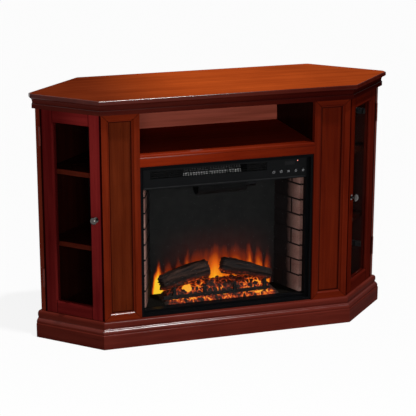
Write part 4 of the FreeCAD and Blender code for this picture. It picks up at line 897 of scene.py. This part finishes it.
# Logs: the ends of each axis, the radius at each end, and where its noise begins
LOGS = {
    "left_log": (Vector((-0.199, -0.06, 0.157)), Vector((-0.033, -0.05, 0.196)), 0.026, 0.03, 2.0),
    "right_log": (Vector((0.014, -0.054, 0.203)), Vector((0.185, -0.064, 0.155)), 0.026, 0.018, 9.0),
}
LOG_RINGS = 64
LOG_SIDES = 56
# Lumps, bark and the taper of the last rings, as shares of the radius
LUMP_RISE = 0.16
BARK_RISE = 0.17
END_TAPER = 0.16
TAPER_RINGS = 3.0
# How fast lumps and bark change across a log and along it
LUMP_RATE = Vector((2.2, 2.2, 9.0))
BARK_RATE = Vector((4.5, 4.5, 14.0))
# How far the broken ends and the other rings are out of line, and the bend
RAGGED_END = 0.01
RAGGED_RING = 0.002
LOG_BEND = 0.002
# Hollows in the ends: depth, number in a metre, and place as a share of the radius
DENT = 0.004
DENT_RATE = 160.0
DENT_RING = 0.55


def log_mesh(name, start, end, start_radius, end_radius, seed):
    """A charred log: long bark ridges, broken ends and a little bend."""
    axis = end - start
    forward = axis.normalized()
    side = axis.cross(Vector((0.0, 0.0, 1.0))).normalized()
    up = side.cross(axis).normalized()
    offset = Vector((seed, 3.1 * seed, -1.7 * seed))
    shape = bmesh.new()
    rows = []
    ridges = []
    heats = []
    for ring in range(LOG_RINGS + 1):
        share = ring / LOG_RINGS
        middle = start + axis * share + up * (LOG_BEND * math.sin(math.pi * share))
        ragged = RAGGED_END if ring in (0, LOG_RINGS) else RAGGED_RING
        near_end = max(0.0, 1.0 - min(ring, LOG_RINGS - ring) / TAPER_RINGS)
        plain = (start_radius + (end_radius - start_radius) * share) * (1.0 - END_TAPER * near_end ** 2)
        row = []
        for index in range(LOG_SIDES):
            angle = math.tau * index / LOG_SIDES
            around = Vector((math.cos(angle), math.sin(angle), share * axis.length))
            spot = around * LUMP_RATE + offset
            bark = noise.fractal(around * BARK_RATE + offset, 0.6, 2.2, 5)
            radius = plain * (1.0 + LUMP_RISE * noise.noise(spot) + BARK_RISE * bark)
            push = ragged * noise.noise(spot * 2.3 + Vector((7.0, 1.0, 4.0)))
            out = side * math.cos(angle) + up * math.sin(angle)
            row.append(shape.verts.new(middle + forward * push + out * radius))
            ridges.append(clamped(0.5 + 0.75 * bark))
            below = max(0.0, -math.sin(angle) - 0.2)
            heats.append(clamped(1.1 * below) * clamped(0.62 - 1.3 * bark))
        rows.append(row)
    skin(shape, rows, closed=True)
    for row, inward in ((rows[0], forward), (rows[-1], -forward)):
        middle = sum((vert.co for vert in row), Vector()) / LOG_SIDES
        inner = []
        for vert in row:
            dent = inward * (DENT * noise.noise(vert.co * DENT_RATE + offset))
            inner.append(shape.verts.new(middle + (vert.co - middle) * DENT_RING + dent))
        hub = shape.verts.new(middle)
        ridges += [0.75] * LOG_SIDES + [0.6]
        heats += [0.0] * (LOG_SIDES + 1)
        skin(shape, [row, inner], closed=True)
        for first, after in zip(inner, inner[1:] + inner[:1]):
            shape.faces.new((first, after, hub))
    bmesh.ops.recalc_face_normals(shape, faces=shape.faces)
    mesh = mesh_of(name, shape)
    store(mesh, "ridge", ridges)
    store(mesh, "ember", heats)
    return mesh


def build_logs():
    """Both logs with their bark, in place of the plain CAD logs."""
    bark = charred_bark()
    for node, sizes in LOGS.items():
        name = "charred_" + node
        piece = new_piece(name, log_mesh(name, *sizes), bark, "cabinet")
        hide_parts(node)


# Ember bed's section: distance behind the toe and height over the hearth
EMBER_SECTION = ((0.0, 0.0), (0.006, 0.007), (0.02, 0.008), (0.032, 0.02), (0.062, 0.038), (0.09, 0.045),
                 (0.102, 0.0))
EMBER_DEPTH = EMBER_SECTION[-1][0]
# Cells of the heap's grid
COLUMNS = 300
ROWS = 84
# Columns over which the ends fall off, at the front and at the back, and rows over which the lumps begin
END_COLUMNS = (14.0, 40.0)
EDGE_ROWS = 4
# Where the grate's bar lies behind the toe, and the share of the lumps left under it
GRATE_FRONT = 0.018
GRATE_REAR = 0.034
UNDER_GRATE = 0.15
# Coals and grit: how many in a metre, and their height
COAL_RATE = 62.0
COAL_RISE = 0.011
GRIT_RATE = 300.0
GRIT_RISE = 0.0016
# How fast the heat fades from a crack, in front of the grate and behind
FRONT_CRACKS = 2.1
REAR_CRACKS = 3.3
# The glowing lump: X, distance behind the toe, reach along X and back, and heat
HOT_SPOT = (-0.112, 0.05)
HOT_REACH = (0.017, 0.013)
HOT_HEAT = 2.2
# Warmer patches: X, distance behind the toe, reach along X and back, and added warmth
WARM_PATCHES = (
    (0.015, 0.043, 0.045, 0.013, 0.75),
    (0.120, 0.047, 0.034, 0.016, 0.95),
    (-0.060, 0.056, 0.036, 0.020, 0.35),
    (-0.150, 0.014, 0.036, 0.012, 1.30),
    (-0.030, 0.014, 0.060, 0.012, 0.80),
    (0.140, 0.014, 0.060, 0.012, 1.30),
)
COOL = 0.62


def warmth(x, distance):
    """How much hotter the cracks are in and near the warm patches."""
    total = COOL
    for middle, back, wide, deep, gain in WARM_PATCHES:
        total += gain * math.exp(-((x - middle) / wide) ** 2 - ((distance - back) / deep) ** 2)
    return total


def ember_height(distance):
    """Height of the bed's section at a distance behind the toe."""
    for (a, low), (b, high) in zip(EMBER_SECTION, EMBER_SECTION[1:]):
        if distance <= b:
            return low + (high - low) * (distance - a) / (b - a)
    return EMBER_SECTION[-1][1]


def ember_point(x, distance, edge, border):
    """Height and heat of the heap at a point; edge and border fall to zero at its ends and its rim."""
    spot = Vector((x * COAL_RATE, distance * COAL_RATE, 0.0))
    spot += noise.noise_vector(spot * 0.8) * 0.35
    near, points = noise.voronoi(spot)
    gap = near[1] - near[0]
    lump = min(1.0, gap * 1.9) * (0.55 + 0.55 * noise.cell(points[0] * 7.0)) * edge
    rough = noise.fractal(Vector((x * GRIT_RATE, distance * GRIT_RATE, 2.0)), 0.7, 2.0, 3)
    share = UNDER_GRATE if GRATE_FRONT < distance < GRATE_REAR else 1.0
    height = ember_height(distance) * edge + share * border * (COAL_RISE * lump + GRIT_RISE * rough)
    spread = Vector(((x - HOT_SPOT[0]) / HOT_REACH[0], (distance - HOT_SPOT[1]) / HOT_REACH[1])).length
    hot = clamped(4.4 - 4.0 * spread) * HOT_HEAT
    narrow = FRONT_CRACKS if distance < GRATE_FRONT else REAR_CRACKS
    cracks = max(0.0, 1.0 - gap * narrow) + 0.12 * max(0.0, rough)
    heat = max(hot, cracks * warmth(x, distance) * min(1.0, edge * edge * 1.4))
    return max(height, 0.0), heat


def build_embers():
    """A heap of broken coals over the CAD bed's section."""
    low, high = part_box("ember_bed")
    shape = bmesh.new()
    grid = []
    heats = []
    for row in range(ROWS + 1):
        distance = EMBER_DEPTH * (row / ROWS)
        ends = END_COLUMNS[0] + (END_COLUMNS[1] - END_COLUMNS[0]) * row / ROWS
        border = min(1.0, min(row, ROWS - row) / EDGE_ROWS)
        line = []
        for column in range(COLUMNS + 1):
            x = low.x + (high.x - low.x) * column / COLUMNS
            edge = min(1.0, min(column, COLUMNS - column) / ends)
            height, heat = ember_point(x, distance, edge, border)
            line.append(shape.verts.new((x, low.y + distance, low.z + height)))
            heats.append(heat)
        grid.append(line)
    skin(shape, grid)
    rear = low.y + EMBER_DEPTH
    corners = ((low.x, rear), (high.x, rear), (high.x, low.y), (low.x, low.y))
    shape.faces.new([shape.verts.new((x, y, low.z)) for x, y in corners])
    heats += [0.0] * len(corners)
    bmesh.ops.recalc_face_normals(shape, faces=shape.faces)
    mesh = mesh_of("coal_heap", shape)
    store(mesh, "ember", heats)
    piece = new_piece("coal_heap", mesh, coals(), "cabinet")
    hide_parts("ember_bed")


# Signs on the keys: radius of their lines, and how far a line's middle lies in front of the key
SIGN_LINE = 0.00042
SIGN_PROUD = 0.0001
ARC_STEPS = 28
WAVE_STEPS = 10
WAVE_SWING = 0.0007
WAVE_HALF = 0.0034
WAVE_GAP = 0.0024
RAYS = 8
RAY_START = 0.0028
RAY_END = 0.0042


def circle(radius, first=0.0, last=360.0):
    """An arc between two angles in degrees, or the whole circle."""
    arc = []
    for index in range(ARC_STEPS + 1):
        angle = math.radians(first + (last - first) * index / ARC_STEPS)
        arc.append((radius * math.cos(angle), radius * math.sin(angle)))
    return arc


def wave(x):
    """An upright wavy line."""
    points = []
    for step in range(WAVE_STEPS + 1):
        points.append((x + WAVE_SWING * math.sin(step * 0.9), WAVE_HALF * (2.0 * step / WAVE_STEPS - 1.0)))
    return points


def ray(index):
    """One of the short lines round a lamp."""
    angle = math.tau * index / RAYS
    return [(reach * math.cos(angle), reach * math.sin(angle)) for reach in (RAY_START, RAY_END)]


def symbols():
    """Plain line symbols, as strokes in (x, z) about the middle of a button."""
    drop = [(0.0, 0.0044), (0.0014, 0.0022), (0.0028, 0.0), (0.0024, -0.0024), (0.0, -0.0038),
            (-0.0024, -0.0024), (-0.0028, -0.0002), (-0.0016, 0.0012), (-0.001, 0.0028), (0.0, 0.0044)]
    return {
        "power": [circle(0.0036, 115.0, 425.0), [(0.0, 0.0012), (0.0, 0.0044)]],
        "timer": [circle(0.0038), [(0.0, 0.0024), (0.0, 0.0), (0.0018, -0.0008)]],
        "heat": [wave(-WAVE_GAP), wave(0.0), wave(WAVE_GAP)],
        "flame": [drop],
        "lamp": [circle(0.0018)] + [ray(index) for index in range(RAYS)],
    }


def build_symbols():
    """Raised lines on the faces of the keys."""
    silver = coated("symbol_ink", (0.55, 0.56, 0.58), 0.45)
    for name, strokes in symbols().items():
        low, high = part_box(name + "_button")
        curve = bpy.data.curves.new(name + "_symbol", "CURVE")
        curve.dimensions = "3D"
        curve.bevel_depth = SIGN_LINE
        curve.bevel_resolution = 2
        centre = (low + high) / 2.0
        for points in strokes:
            spline = curve.splines.new("POLY")
            spline.points.add(len(points) - 1)
            for point, (x, z) in zip(spline.points, points):
                point.co = (centre.x + x, low.y - SIGN_PROUD, centre.z + z, 1.0)
        new_piece(name + "_symbol", curve, silver, name + "_key")


# Display: how far its middle lies below the fascia's top, X, distance behind the fascia's front, and sizes
DISPLAY_DROP = 0.013
WINDOW_X = 0.21847
WINDOW_BACK = 0.0064
WINDOW_SIZE = (0.0352, 0.0007, 0.0132)
WINDOW_EDGE = 0.0002
LENS_X = 0.24647
LENS_BACK = 0.0068
LENS_RISE = 0.0065
LENS_RADIUS = 0.0017
LENS_HEIGHT = 0.0018


def lens_mesh(name, centre):
    """A low dome facing the front."""
    shape = bmesh.new()
    bmesh.ops.create_uvsphere(shape, u_segments=24, v_segments=12, radius=1.0)
    cut = [vert for vert in shape.verts if vert.co.z < -1e-4]
    bmesh.ops.delete(shape, geom=cut, context="VERTS")
    place = Matrix.Translation(centre) @ Matrix.Rotation(math.radians(90.0), 4, "X")
    shape.transform(place @ Matrix.Diagonal((LENS_RADIUS, LENS_RADIUS, LENS_HEIGHT, 1.0)))
    return mesh_of(name, shape)


def window_mesh(name, centre):
    """A thin plate with eased edges."""
    shape = bmesh.new()
    bmesh.ops.create_cube(shape, size=1.0)
    shape.transform(Matrix.Translation(centre) @ Matrix.Diagonal((*WINDOW_SIZE, 1.0)))
    bmesh.ops.bevel(shape, geom=shape.edges[:], offset=WINDOW_EDGE, segments=2, affect="EDGES")
    return mesh_of(name, shape, False)


def build_display():
    """The indicator light and the blank dark window beside it."""
    low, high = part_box("control_fascia")
    row = high.z - DISPLAY_DROP
    lens = lens_mesh("indicator_light", Vector((LENS_X, low.y + LENS_BACK, row + LENS_RISE)))
    new_piece("indicator_light", lens, red_lens(), "cabinet")
    window = window_mesh("display_window", Vector((WINDOW_X, low.y + WINDOW_BACK, row)))
    smoked = coated("window_plastic", (0.006, 0.006, 0.007), 0.12, shine=0.1)
    new_piece("display_window", window, smoked, "cabinet")


def surroundings():
    """A world that is white to look at and lights the object only a little."""
    s = Surface("studio", world=True)
    level = s.fade(s.shown(), 0.0, 1.0, AMBIENT, 1.0, smooth=False)
    white = s.node("Background", {"Color": (1.0, 1.0, 1.0), "Strength": level}).outputs[0]
    SCENE.world = s.finish(white)


def white_floor():
    """A floor that is nearly white to look at, takes a soft shadow and throws back little light."""
    s = Surface("white_floor")
    looked_at = s.shown()
    matt = s.node("BsdfDiffuse", {"Color": s.blend(looked_at, FLOOR_THROWN, FLOOR_SEEN)}).outputs[0]
    white = s.node("Emission", {"Color": (1.0, 1.0, 1.0), "Strength": 1.0}).outputs[0]
    share = s.times(looked_at, FLOOR_WHITE)
    shape = bmesh.new()
    bmesh.ops.create_grid(shape, x_segments=1, y_segments=1, size=FLOOR_SIZE / 2.0)
    mesh = mesh_of("floor", shape, False)
    mesh.materials.append(s.finish(s.node("MixShader", {0: share, 1: matt, 2: white}).outputs[0]))
    add("floor", mesh)


def add_lamp(name, kind, power, back):
    """A lamp with its back to a direction."""
    data = bpy.data.lights.new(name, kind)
    data.energy = power
    lamp = add(name, data)
    lamp.rotation_euler = back.to_track_quat("Z", "Y").to_euler()
    return lamp


def lamps():
    """A sun from above the front and a softer lamp at the front left."""
    sun = add_lamp("sun", "SUN", SUN_STRENGTH, towards(SUN_AZIMUTH, SUN_ELEVATION))
    sun.data.angle = math.radians(SUN_ANGLE)
    key = add_lamp("key", "AREA", KEY_POWER, KEY_PLACE - KEY_AIM)
    key.data.size = KEY_SIZE
    key.location = KEY_PLACE


def towards(azimuth, elevation):
    """The direction from the object to a viewer; azimuth 0 is the front."""
    a = math.radians(azimuth)
    e = math.radians(elevation)
    return Vector((math.sin(a) * math.cos(e), -math.cos(a) * math.cos(e), math.sin(e)))


def camera():
    """The main view."""
    data = bpy.data.cameras.new("camera")
    data.sensor_width = SENSOR
    data.lens = FOCAL_PIXELS * SENSOR / PICTURE
    data.clip_end = VIEW_FAR
    eye = add("camera", data)
    back = towards(VIEW_AZIMUTH, VIEW_ELEVATION)
    eye.location = VIEW_TARGET + back * VIEW_DISTANCE
    eye.rotation_euler = back.to_track_quat("Z", "Y").to_euler()
    SCENE.camera = eye


noise.seed_set(NOISE_SEED)
dress_face()
dress_doors()
dress_inside()
dress_fittings()
dress_fire()
build_logs()
build_embers()
build_symbols()
build_display()
SCENE.view_settings.view_transform = "Standard"
surroundings()
white_floor()
lamps()
camera()
